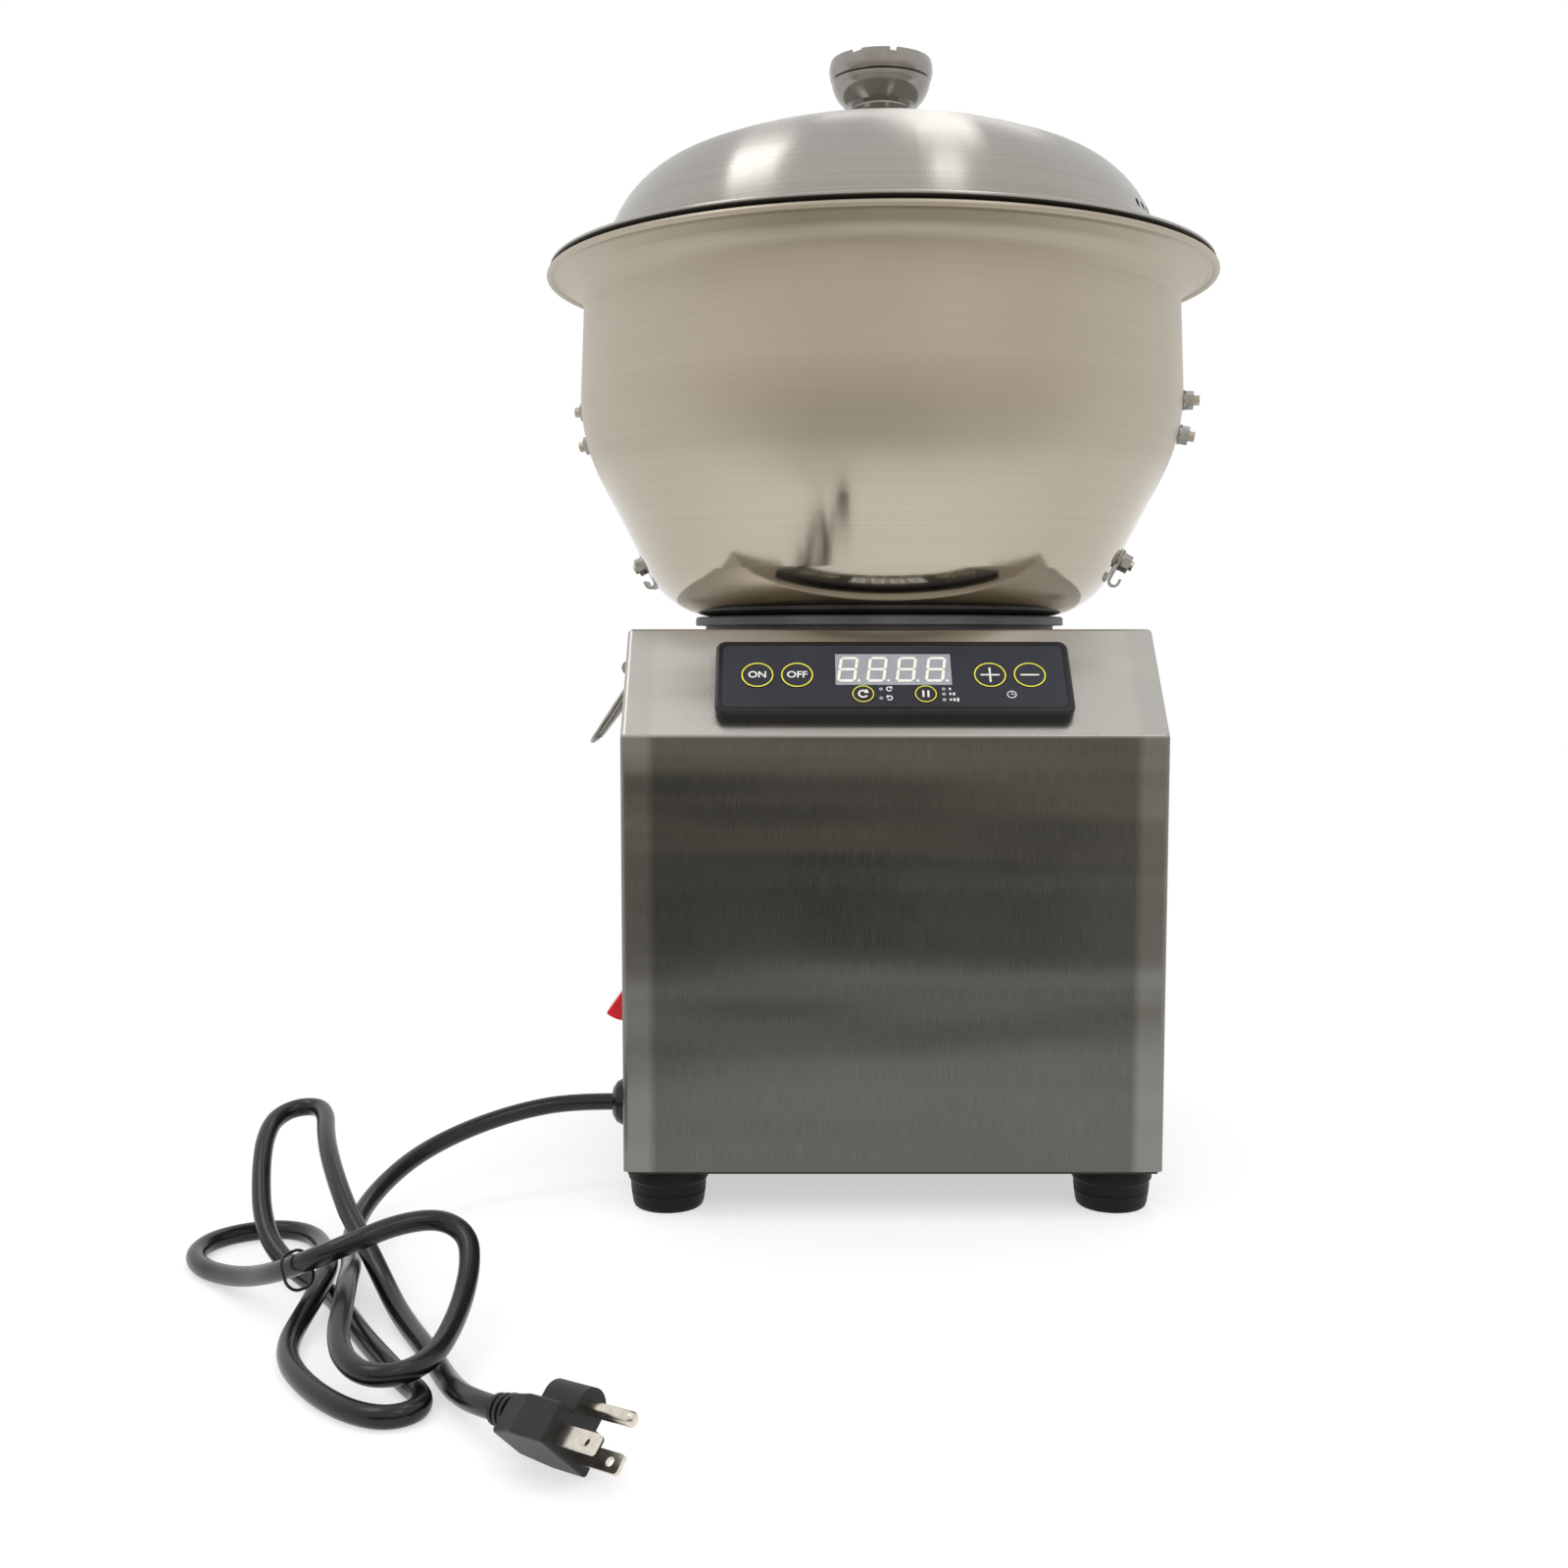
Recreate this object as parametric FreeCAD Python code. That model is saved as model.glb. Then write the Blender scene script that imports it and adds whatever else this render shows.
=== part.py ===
import FreeCAD, Part
import math
import os

V = FreeCAD.Vector
X_AXIS = V(1, 0, 0)
Y_AXIS = V(0, 1, 0)
Z_AXIS = V(0, 0, 1)

# Bench-top dough kneader: folded steel base, lift-off bowl, domed lid.
# Millimetres. The origin is on the floor under the bowl's axis, +Z is up
# and the front, with the control panel, faces -Y.

# Folded housing
BASE_WIDTH = 240.0
BASE_DEPTH = 240.0
FRONT_SET = 141.0          # bowl axis to the front face
FRONT_HEIGHT = 194.0       # upright part of the front
SLOPE_RUN = 43.0
SLOPE_RISE = 46.5
SHELL_SHEET = 1.2
BEND_RADIUS = 2.4
FLANGE_WIDTH = 10.0        # inward fold along the bottom edge
VENT_COUNT = 7
VENT_LENGTH = 34.0
VENT_WIDTH = 4.0
VENT_PITCH = 11.0
VENT_HEIGHT = 60.0         # lowest vent above the housing's bottom edge

# Bottom plate and feet
PLATE_SHEET = 1.5
PLATE_INSET = 2.0
FOOT_HEIGHT = 20.2
FOOT_RADIUS = 18.2         # at the bulge
FOOT_INSET_X = 18.6
FOOT_INSET_Y = 23.5
FOOT_SCREW_RADIUS = 2.5
FOOT_RECESS_RADIUS = 6.5
FOOT_RECESS_DEPTH = 9.0
PLATE_SCREW_RADIUS = 2.0
PLATE_SCREW_SPREAD = 52.0

# Bowl seat and warming plate
SEAT_RADIUS = 93.6
SEAT_STEP = 5.0            # the lower layer is this much smaller
SEAT_LOWER = 2.4
SEAT_UPPER = 4.2
SEAT_EYE_RADIUS = 44.0
HEATER_INSET = 17.6        # plate's edge in from the seat's
HEATER_EYE = 6.0           # plate's eye out from the seat's
HEATER_THICK = 2.2
HEATER_RECESS = 2.8
SEAT_SCREW_INSET = 10.6
SEAT_SCREW_RADIUS = 2.0

# Bowl, spun from sheet
BOWL_SHEET = 1.2
BOWL_FLOOR_RADIUS = 105.7  # where the floor line would meet the cone
BOWL_CORNER = 40.0
BOWL_RIM_RADIUS = 166.9    # outermost point of the bead
BOWL_BELLY_INSET = 15.2    # from the rim in to where the cone would meet the wall
BOWL_BELLY_HEIGHT = 89.0
BOWL_BELLY_ROUND = 90.0
BOWL_MOUTH_INSET = 18.3
BOWL_MOUTH_HEIGHT = 159.3
BOWL_MOUTH_ROUND = 12.0
BOWL_FLARE_INSET = 4.7
BOWL_FLARE_RISE = 7.2      # from the mouth's corner up to the flare's edge
BOWL_FLARE_ROUND = 6.0
BOWL_BEAD_RADIUS = 1.6
BOWL_TURN = 8.4            # degrees the bowl is set down turned from square
STOP_HEIGHTS = (28.7, 90.4, 106.9)   # nuts above the bowl's floor
STUD_RADIUS = 2.5
STUD_OUT = 8.2             # stud beyond the bowl's outer face
STOP_ROD_RADIUS = 5.0
STOP_ROD_GAP = 6.0         # rod's near side to the bowl's wall
STOP_BEND = 60.0
NUT_FLATS = 8.0
NUT_HEIGHT = 4.0
WASHER_RADIUS = 5.0
WASHER_THICK = 1.0
HOOK_STRIP = 1.2
HOOK_WIDTH = 11.0
HOOK_DROP = 13.0
HOOK_BEND = 2.4
HOOK_TIP = 4.6             # rise of the bent-up end

# Hub and kneading arm
HUB_EYE_RADIUS = 30.0
HUB_FLANGE_RADIUS = 40.0
HUB_FLANGE = 2.8
HUB_TOWER_RADIUS = 19.0
HUB_HEIGHT = 38.0          # top of the tower above the bowl's floor
HUB_CAVITY_RADIUS = 25.0
HUB_CAVITY_DEPTH = 14.0
SHAFT_RADIUS = 8.0
SHAFT_TOP = 78.0           # above the bowl's floor
ARM_ROD_RADIUS = 6.0
ARM_BOSS_RADIUS = 17.0
ARM_BOSS_HEIGHT = 20.0
CAP_NUT_RADIUS = 10.0

# Drive dogs between base and bowl
DOG_RADIUS = 19.0
DOG_EYE_RADIUS = 9.0
DOG_DISC = 5.0
DOG_HEIGHT = 7.0
DOG_COUNT = 3
DOG_ANGLE = 50.0

# Lid and knob
LID_SHEET = 1.1
LID_DOME_INSET = 28.4      # from the bowl's rim in to the foot of the dome
LID_DOME_HEIGHT = 71.2
LID_SHOULDER = 54.0        # radius of the dome's shoulder, which runs into a flatter crown
LID_BRIM_INSET = 2.7       # from the bowl's rim in to the middle of the hem
LID_GAP = 2.4              # brim's underside above the bowl's bead
LID_SKIRT_OUT = 8.5        # outside the corner of the bowl's mouth
LID_HEM_RADIUS = 1.0
VENT_HOLE_RADIUS = 2.2
VENT_HOLE_HEIGHT = 20.0
VENT_HOLE_ANGLES = (-30.5, -27.0, -23.5)
KNOB_RADIUS = 25.9
KNOB_TOP_RADIUS = 25.2
KNOB_CAP_HEIGHT = 10.8
KNOB_CUP_HEIGHT = 11.4
KNOB_CUP_RADIUS = 20.0
KNOB_COLLAR_RADIUS = 14.8
KNOB_COLLAR_HEIGHT = 12.2
KNOB_SCREW_RADIUS = 3.0

# Control panel, set on the slope
PANEL_WIDTH = 158.0
PANEL_HEIGHT = 42.4
PANEL_PROUD = 6.1
PANEL_CENTRE = 29.6        # up the slope from the lower bend
PANEL_CORNER = 4.6
PANEL_BORDER = 3.0
PANEL_WALL = 1.8
PANEL_TAIL = 7.0           # how far the tray goes in through the slope
PANEL_TAIL_INSET = 4.5
OVERLAY_THICK = 0.5
FACE_THICK = 1.2
KEY_LARGE = 7.2
KEY_SMALL = 4.9
KEY_PROUD = 0.25
KEY_THICK = 3.0
KEY_STEM = 1.8
KEY_TRAVEL = 0.6
KEY_ROW = 0.3              # large keys above the panel's centre line
KEY_SMALL_ROW = -10.8
KEY_OUTER_X = 60.3
KEY_INNER_X = 42.7
KEY_SMALL_X = 13.75
DISPLAY_WIDTH = 52.0
DISPLAY_HEIGHT = 18.8
DISPLAY_ROW = 4.0
DIGIT_COUNT = 4
DIGIT_WIDTH = 8.4
DIGIT_HEIGHT = 14.6
DIGIT_PITCH = 13.0
DIGIT_STROKE = 1.3
DIGIT_SLANT = 0.13
SEGMENT_THICK = 0.15
LAMP_RADIUS = 0.9
LAMP_PLACES = ((-5.9, -7.8), (-5.9, -13.0), (21.7, -7.8), (21.7, -10.7), (21.7, -14.0))
BOARD_THICK = 1.6
SWITCH_SIZE = 6.0

# Rocker switch on the left wall
ROCKER_Y = -99.0
ROCKER_Z = 96.2
ROCKER_WIDTH = 15.0
ROCKER_RADIUS = 13.9       # round its pivot
ROCKER_REACH = 1.6         # pivot to the valley of the rocker's face
ROCKER_PIN = 1.1
ROCKER_ANGLE = 36.0
SWITCH_WIDTH = 21.0
SWITCH_LENGTH = 30.0
SWITCH_FLANGE = 2.4
SWITCH_LIP = 1.8
SWITCH_DEPTH = 24.0

# Cord gland, cord and plug
GLAND_Y = -90.0
GLAND_Z = 39.8
GLAND_RADIUS = 10.8
GLAND_PROUD = 9.0
GLAND_NOSE_RADIUS = 6.0
GLAND_THREAD_RADIUS = 7.6
GLAND_THREAD_LENGTH = 15.0
GLAND_NUT_FLATS = 20.0
GLAND_NUT_THICK = 5.0
CORD_DIAMETER = 7.9
TIE_RADIUS = 0.6
TIE_HALF_WIDTH = 6.5
TIE_DROP = 9.0             # below the middle of the strand that it holds
PLUG_YAW = -40.8
PLUG_PITCH = -6.1
PLUG_ROLL = -46.8
PLUG_RELIEF_LENGTH = 11.0
PLUG_RELIEF_RADIUS = 6.2
PLUG_BODY_LENGTH = 27.5
PLUG_BODY_WIDTH = 24.0
PLUG_BODY_LOW = -9.2
PLUG_BODY_HIGH = 4.0
PLUG_TOWER_RADIUS = 6.2
PLUG_TOWER_LENGTH = 16.0
PLUG_EDGE = 1.2
PLUG_GAP = 0.1             # relief's end to the cord's
BLADE_SPACING = 12.7
BLADE_WIDTH = 6.35
BLADE_THICK = 1.5
BLADE_LENGTH = 16.5
BLADE_DROP = -4.0
PIN_RADIUS = 2.38
PIN_LENGTH = 19.5
PIN_RISE = 7.9

# Toggle latches on both side walls
LATCH_WIDTH = 24.0
LATCH_SHEET = 1.5
LATCH_PIVOT_OUT = 7.5      # lever's pivot from the wall
LATCH_PIVOT_DOWN = 19.0    # below the housing's top
LATCH_PIN_RADIUS = 1.5
LEVER_LENGTH = 30.0
LEVER_WIDTH = 16.0
BAIL_OFFSET = 9.0          # bail's pivot below the lever's pivot
BAIL_WIDTH = 30.0
BAIL_LENGTH = 34.0
BAIL_LEAN = 33.5           # degrees out from straight down, as it rests
BAIL_WIRE = 1.1

# Drive inside the base
DECK_HEIGHT = 58.0         # drive plate above the bottom plate
DECK_THICK = 4.0
DECK_LEFT = -58.0
DECK_WALL_GAP = 4.5        # deck's right edge to the housing's outer face
DECK_DEPTH = 126.0
POST_RADIUS = 6.0
POST_INSET = 9.0
POST_RIGHT_INSET = 18.0    # clear of the housing's bottom flange
MOTOR_X = 75.5
MOTOR_Y = 0.0
MOTOR_RADIUS = 35.0
MOTOR_HEIGHT = 98.0
MOTOR_BELL = 11.0
ROTOR_RADIUS = 21.0
MOTOR_SHAFT_RADIUS = 5.0
SPINDLE_RADIUS = 10.0
BEARING_RADIUS = 21.0
BEARING_WIDTH = 12.0
CARTRIDGE_RADIUS = 28.0
CARTRIDGE_FLANGE = 40.0
CARTRIDGE_FLANGE_THICK = 8.0
BELT_HEIGHT = 8.0
BELT_THICK = 6.0
BELT_DROP = 14.0           # belt's top edge below the drive plate
LARGE_GROOVE = 47.0
SMALL_GROOVE = 10.2
GROOVE_LIP = 8.0
PULLEY_CHEEK = 3.0

# Power board on the bottom plate
POWER_WIDTH = 96.0
POWER_DEPTH = 44.0
POWER_TALL = 24.0          # its tallest part
POWER_SHIFT = -38.0        # its middle from the bowl's axis
POWER_SET_BACK = 18.0      # from the front face
POWER_STANDOFF = 8.0
POWER_CORNER = 5.0

# Clearances
RUN_FIT = 0.05             # shaft in its bush, radial
KEYED_FIT = 0.03           # pulley on its shaft, radial
NUT_FIT = 0.05             # nut on its screw, radial
HOLE_FIT = 0.3             # screw in a clearance hole, radial
SLIDE_GAP = 0.3            # between pieces that pass each other
SEAT_GAP = 0.3             # between a piece and the curved seat under it

# Places worked out from the sizes above
HALF_WIDTH = BASE_WIDTH / 2
FRONT_Y = -FRONT_SET
BACK_Y = FRONT_Y + BASE_DEPTH
BASE_Z = FOOT_HEIGHT + PLATE_SHEET
BEND_Z = BASE_Z + FRONT_HEIGHT
TOP_Z = BEND_Z + SLOPE_RISE
SLOPE_TOP_Y = FRONT_Y + SLOPE_RUN
SEAT_SCREW_CIRCLE = SEAT_RADIUS - SEAT_SCREW_INSET
HEATER_OUTER = SEAT_RADIUS - HEATER_INSET
HEATER_INNER = SEAT_EYE_RADIUS + HEATER_EYE
BOWL_Z = TOP_Z + SEAT_LOWER + SEAT_UPPER
BOWL_FLOOR_Z = BOWL_Z + BOWL_SHEET
BOWL_BELLY_RADIUS = BOWL_RIM_RADIUS - BOWL_BELLY_INSET
BOWL_MOUTH_RADIUS = BOWL_RIM_RADIUS - BOWL_MOUTH_INSET
BOWL_FLARE_RADIUS = BOWL_RIM_RADIUS - BOWL_FLARE_INSET
BOWL_FLARE_HEIGHT = BOWL_MOUTH_HEIGHT + BOWL_FLARE_RISE
BEAD_RING = BOWL_RIM_RADIUS - BOWL_BEAD_RADIUS
BEAD_Z = BOWL_Z + BOWL_FLARE_HEIGHT + BOWL_BEAD_RADIUS / 2
LID_DOME_RADIUS = BOWL_RIM_RADIUS - LID_DOME_INSET
LID_BRIM_RADIUS = BOWL_RIM_RADIUS - LID_BRIM_INSET
LID_SKIRT_RADIUS = BOWL_MOUTH_RADIUS + LID_SKIRT_OUT
LID_Z = BEAD_Z + BOWL_BEAD_RADIUS + LID_GAP
CROWN_Z = LID_Z + LID_DOME_HEIGHT
DECK_RIGHT = HALF_WIDTH - DECK_WALL_GAP
DECK_Z = BASE_Z + DECK_HEIGHT
DECK_TOP = DECK_Z + DECK_THICK


def save(name, *solids):
    """Write one node: a single solid, or a group of separate solids."""
    shape = solids[0] if len(solids) == 1 else Part.makeCompound(list(solids))
    count = len(shape.Solids)
    if count != len(solids) or not shape.isValid():
        raise ValueError(f"{name}: {count} solids from {len(solids)}, valid {shape.isValid()}")
    shape.exportStep(f"parts/{name}.step")


def block(low, high):
    return Part.makeBox(high[0] - low[0], high[1] - low[1], high[2] - low[2], V(*low))


def rod(radius, start, end):
    run = V(*end) - V(*start)
    return Part.makeCylinder(radius, run.Length, V(*start), run)


def ring(outer, inner, start, end):
    return rod(outer, start, end).cut(rod(inner, start, end))


def pillars(radius, places, low, high):
    """Upright rods at (x, y) places between two heights."""
    return [rod(radius, (x, y, low), (x, y, high)) for x, y in places]


def circle_places(circle, angles, x=0.0, y=0.0):
    """Places on a circle round (x, y), at angles in degrees."""
    return [(x + circle * math.cos(math.radians(a)), y + circle * math.sin(math.radians(a))) for a in angles]


def one(shape):
    """The single solid of a fused or cut shape, with merged faces."""
    return shape.removeSplitter().Solids[0]


def hexagon(flats, start, direction, height):
    """A hexagonal prism standing on start along direction."""
    corner = flats / math.sqrt(3)
    angles = [k * math.pi / 3 for k in range(7)]
    points = [V(corner * math.cos(a), corner * math.sin(a), 0) for a in angles]
    prism = Part.Face(Part.makePolygon(points)).extrude(V(0, 0, height))
    return place(prism, start, direction)


def place(shape, start, direction):
    """Turn a shape made along +Z to direction and set its origin on start."""
    moved = shape.copy()
    moved.Placement = FreeCAD.Placement(V(*start), FreeCAD.Rotation(Z_AXIS, V(*direction)))
    return moved


def screw(head_radius, head_height, radius, length):
    """A pan-head screw: shank along +Z from the origin, head below it."""
    head = rod(head_radius, (0, 0, -head_height), (0, 0, 0))
    return one(head.fuse(rod(radius, (0, 0, 0), (0, 0, length))))


def rounded_edges(points, radii):
    """Straight runs through points, joined by tangent arcs of the given radii."""
    edges = []
    start = points[0]
    for before, corner, after, radius in zip(points, points[1:], points[2:], radii):
        back = (before - corner).normalize()
        ahead = (after - corner).normalize()
        turn = math.pi - back.getAngle(ahead)
        reach = radius * math.tan(turn / 2)
        first = corner + back * reach
        last = corner + ahead * reach
        to_middle = radius / math.cos(turn / 2) - radius
        middle = corner + (back + ahead).normalize() * to_middle
        edges.append(Part.LineSegment(start, first).toShape())
        edges.append(Part.Arc(first, middle, last).toShape())
        start = last
    edges.append(Part.LineSegment(start, points[-1]).toShape())
    return edges


def offset_line(points, distance):
    """The (r, z) points of an open outline moved to its left by distance."""
    moved = []
    normals = []
    for (r0, z0), (r1, z1) in zip(points, points[1:]):
        length = math.hypot(r1 - r0, z1 - z0)
        normals.append((-(z1 - z0) / length, (r1 - r0) / length))
    for k, (r, z) in enumerate(points):
        if k in (0, len(points) - 1):
            n = normals[min(k, len(normals) - 1)]
            moved.append((r + n[0] * distance, z + n[1] * distance))
            continue
        a, b = normals[k - 1], normals[k]
        scale = distance / (1 + a[0] * b[0] + a[1] * b[1])
        moved.append((r + (a[0] + b[0]) * scale, z + (a[1] + b[1]) * scale))
    return moved


def sheet_section(points, radii, sheet):
    """Section of spun sheet: an outer (r, z) outline with rounded corners, sheet thick on its left."""
    inner = offset_line(points, sheet)
    inner_radii = []
    for k, radius in enumerate(radii):
        (r0, z0), (r1, z1), (r2, z2) = points[k:k + 3]
        left_turn = (r1 - r0) * (z2 - z1) - (z1 - z0) * (r2 - r1) > 0
        inner_radii.append(radius - sheet if left_turn else radius + sheet)
    outside = rounded_edges([V(r, 0, z) for r, z in points], radii)
    inside = rounded_edges([V(r, 0, z) for r, z in inner], inner_radii)
    ends = [
        Part.LineSegment(V(points[0][0], 0, points[0][1]), V(inner[0][0], 0, inner[0][1])).toShape(),
        Part.LineSegment(V(points[-1][0], 0, points[-1][1]), V(inner[-1][0], 0, inner[-1][1])).toShape(),
    ]
    return Part.Face(Part.Wire(Part.__sortEdges__(outside + inside + ends)))


def flat_section(points):
    """Section with straight sides from a closed (r, z) outline."""
    return Part.Face(Part.makePolygon([V(r, 0, z) for r, z in points + points[:1]]))


def round_section(radius, r, z):
    """Section of a round wire or bead."""
    return Part.Face(Part.Wire(Part.makeCircle(radius, V(r, 0, z), Y_AXIS)))


def spun(*sections):
    """A solid of revolution round the Z axis from sections that overlap."""
    faces = [f if f.normalAt(0, 0).y < 0 else f.reversed() for s in sections for f in s.Faces]
    whole = faces[0].fuse(faces[1:]).removeSplitter() if faces[1:] else faces[0]
    return whole.Faces[0].revolve(V(0, 0, 0), Z_AXIS, 360)


def turned(points):
    """A solid of revolution round the Z axis from a closed (r, z) outline."""
    return spun(flat_section(points))


def tube(points, radius, radii):
    """A round bar along straight runs and tangent arcs."""
    edges = rounded_edges(points, radii)
    path = Part.Wire(edges)
    section = Part.Wire(Part.makeCircle(radius, points[0], points[1] - points[0]))
    solid = path.makePipeShell([section], True, False)
    return Part.Solid(Part.Shell(solid.Faces)) if solid.ShapeType != "Solid" else solid


def easy_radii(points):
    """The largest even arcs: 0.45 of the shorter run over the tangent of half the turn."""
    radii = []
    for before, corner, after in zip(points, points[1:], points[2:]):
        turn = (corner - before).getAngle(after - corner)
        shorter = min((corner - before).Length, (after - corner).Length)
        radii.append(0.45 * shorter / math.tan(turn / 2))
    return radii


def rounded_plate(width, height, thick, corner, z=0.0):
    """A plate in XY round the origin with rounded corners, from z upwards."""
    plate = block((-width / 2, -height / 2, z), (width / 2, height / 2, z + thick))
    upright = [e for e in plate.Edges if abs(e.tangentAt(e.FirstParameter).z) > 0.9]
    return plate.makeFillet(corner, upright)


def slope_place(shape):
    """Move a piece drawn flat on the panel (x, up the slope, proud) onto the slope."""
    tilt = math.degrees(math.atan2(SLOPE_RISE, SLOPE_RUN))
    moved = shape.copy()
    turn = FreeCAD.Rotation(X_AXIS, tilt)
    moved.Placement = FreeCAD.Placement(V(0, FRONT_Y, BEND_Z) + turn.multVec(V(0, PANEL_CENTRE, 0)), turn)
    return moved


def both_sides(shape):
    """A left-hand piece and its mirror on the right."""
    return shape, shape.mirror(V(0, 0, 0), X_AXIS)


os.makedirs("parts", exist_ok=True)

# Feet: four moulded rubber feet, each held by a screw up through the bottom plate.
foot_places = [(sx * (HALF_WIDTH - FOOT_INSET_X), y)
               for y in (FRONT_Y + FOOT_INSET_Y, BACK_Y - FOOT_INSET_Y) for sx in (-1, 1)]
foot_outline = [
    (FOOT_SCREW_RADIUS + HOLE_FIT, FOOT_RECESS_DEPTH), (FOOT_SCREW_RADIUS + HOLE_FIT, FOOT_HEIGHT),
    (FOOT_RADIUS - 1.0, FOOT_HEIGHT), (FOOT_RADIUS - 0.2, FOOT_HEIGHT * 0.78),
    (FOOT_RADIUS, FOOT_HEIGHT * 0.72), (FOOT_RADIUS, FOOT_HEIGHT * 0.66),
    (FOOT_RADIUS - 0.9, FOOT_HEIGHT * 0.6), (FOOT_RADIUS - 1.1, FOOT_HEIGHT * 0.42),
    (FOOT_RADIUS - 1.5, FOOT_HEIGHT * 0.405), (FOOT_RADIUS - 1.5, FOOT_HEIGHT * 0.375),
    (FOOT_RADIUS - 1.2, FOOT_HEIGHT * 0.36), (FOOT_RADIUS - 2.0, FOOT_HEIGHT * 0.1),
    (FOOT_RADIUS - 2.5, FOOT_HEIGHT * 0.03), (FOOT_RADIUS - 3.2, 0),
    (FOOT_RECESS_RADIUS, 0), (FOOT_RECESS_RADIUS, FOOT_RECESS_DEPTH),
]
foot = turned(foot_outline)
save("rubber_feet", *[foot.translated(V(x, y, 0)) for x, y in foot_places])

foot_screw_reach = BASE_Z + NUT_HEIGHT + 3 - FOOT_RECESS_DEPTH
foot_screw = screw(FOOT_RECESS_RADIUS - 1, 3.2, FOOT_SCREW_RADIUS, foot_screw_reach)
foot_nut = hexagon(NUT_FLATS, (0, 0, 0), (0, 0, 1), NUT_HEIGHT)
foot_nut = foot_nut.cut(rod(FOOT_SCREW_RADIUS + NUT_FIT, (0, 0, 0), (0, 0, NUT_HEIGHT)))
save("foot_fasteners",
     *[foot_screw.translated(V(x, y, FOOT_RECESS_DEPTH)) for x, y in foot_places],
     *[foot_nut.translated(V(x, y, BASE_Z)) for x, y in foot_places])

# Bottom plate: flat sheet screwed up into the flanges of the housing's side walls.
flange_mid = SHELL_SHEET + FLANGE_WIDTH / 2
mid_y = (FRONT_Y + BACK_Y) / 2
plate_screw_places = [(sx * (HALF_WIDTH - flange_mid), mid_y + sy * PLATE_SCREW_SPREAD)
                      for sx in (-1, 1) for sy in (-1, 1)]
post_places = [(x, sy * (DECK_DEPTH / 2 - POST_INSET)) for sy in (-1, 1)
               for x in (DECK_LEFT + POST_INSET, DECK_RIGHT - POST_RIGHT_INSET)]
bottom = block((-HALF_WIDTH + PLATE_INSET, FRONT_Y + PLATE_INSET, FOOT_HEIGHT),
               (HALF_WIDTH - PLATE_INSET, BACK_Y - PLATE_INSET, BASE_Z))
holes = pillars(FOOT_SCREW_RADIUS + HOLE_FIT, foot_places, 0, BASE_Z)
holes += pillars(PLATE_SCREW_RADIUS + HOLE_FIT, plate_screw_places, 0, BASE_Z)
for k in range(VENT_COUNT):
    slot_y = mid_y + (k - (VENT_COUNT - 1) / 2) * VENT_PITCH
    holes.append(block((-VENT_LENGTH, slot_y, 0), (VENT_LENGTH, slot_y + VENT_WIDTH, BASE_Z)))
save("bottom_plate", one(bottom.cut(holes)))

plate_screw = screw(PLATE_SCREW_RADIUS * 2, 1.4, PLATE_SCREW_RADIUS, PLATE_SHEET + SHELL_SHEET + 5)
save("bottom_plate_screws", *[plate_screw.translated(V(x, y, FOOT_HEIGHT)) for x, y in plate_screw_places])

# Housing: one folded and welded steel shell, open below, with the panel opening in its slope.
def housing_block(inset, low):
    """The housing's outer form taken in by inset, standing on low."""
    slope = math.hypot(SLOPE_RUN, SLOPE_RISE)
    lower_cut = inset * (slope - SLOPE_RISE) / SLOPE_RUN
    upper_cut = inset * (slope - SLOPE_RUN) / SLOPE_RISE
    side = [(FRONT_Y + inset, low), (FRONT_Y + inset, BEND_Z - lower_cut),
            (SLOPE_TOP_Y + upper_cut, TOP_Z - inset), (BACK_Y - inset, TOP_Z - inset),
            (BACK_Y - inset, low)]
    left = -HALF_WIDTH + inset
    outline = Part.makePolygon([V(left, y, z) for y, z in side + side[:1]])
    solid = Part.Face(outline).extrude(V(2 * (HALF_WIDTH - inset), 0, 0))
    folds = [e for e in solid.Edges if any(abs(v.Z - low) > 0.01 for v in e.Vertexes)]
    return solid.makeFillet(BEND_RADIUS - inset, folds)


shell = housing_block(0, BASE_Z).cut(housing_block(SHELL_SHEET, BASE_Z - SHELL_SHEET))
flange = block((-HALF_WIDTH + SHELL_SHEET / 2, FRONT_Y + SHELL_SHEET / 2, BASE_Z),
               (HALF_WIDTH - SHELL_SHEET / 2, BACK_Y - SHELL_SHEET / 2, BASE_Z + SHELL_SHEET))
fold = SHELL_SHEET + FLANGE_WIDTH
flange_eye = block((-HALF_WIDTH + fold, FRONT_Y + fold, BASE_Z), (HALF_WIDTH - fold, BACK_Y - fold, TOP_Z))
shell = shell.fuse(flange.cut(flange_eye).common(housing_block(0, BASE_Z)))

tail_width = PANEL_WIDTH - 2 * PANEL_TAIL_INSET
tail_height = PANEL_HEIGHT - 2 * PANEL_TAIL_INSET
panel_hole = rounded_plate(tail_width + 2 * SLIDE_GAP, tail_height + 2 * SLIDE_GAP, 20, 2, -10)
seat_screw_places = circle_places(SEAT_SCREW_CIRCLE, (45, 135, 225, 315))
latch_pivot_z = TOP_Z - LATCH_PIVOT_DOWN
rivet_places = [(sy * LATCH_WIDTH / 4, latch_pivot_z + dz)
                for sy in (-1, 1) for dz in (-LEVER_LENGTH + 6, 9)]
rivet_radius = LATCH_PIN_RADIUS + 0.5


def switch_block(outer_x, inner_x, margin):
    """The switch's rectangle between two x levels of the left wall, wider all round by margin."""
    half_width, half_length = SWITCH_WIDTH / 2 + margin, SWITCH_LENGTH / 2 + margin
    return block((outer_x, ROCKER_Y - half_width, ROCKER_Z - half_length),
                 (inner_x, ROCKER_Y + half_width, ROCKER_Z + half_length))


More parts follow.
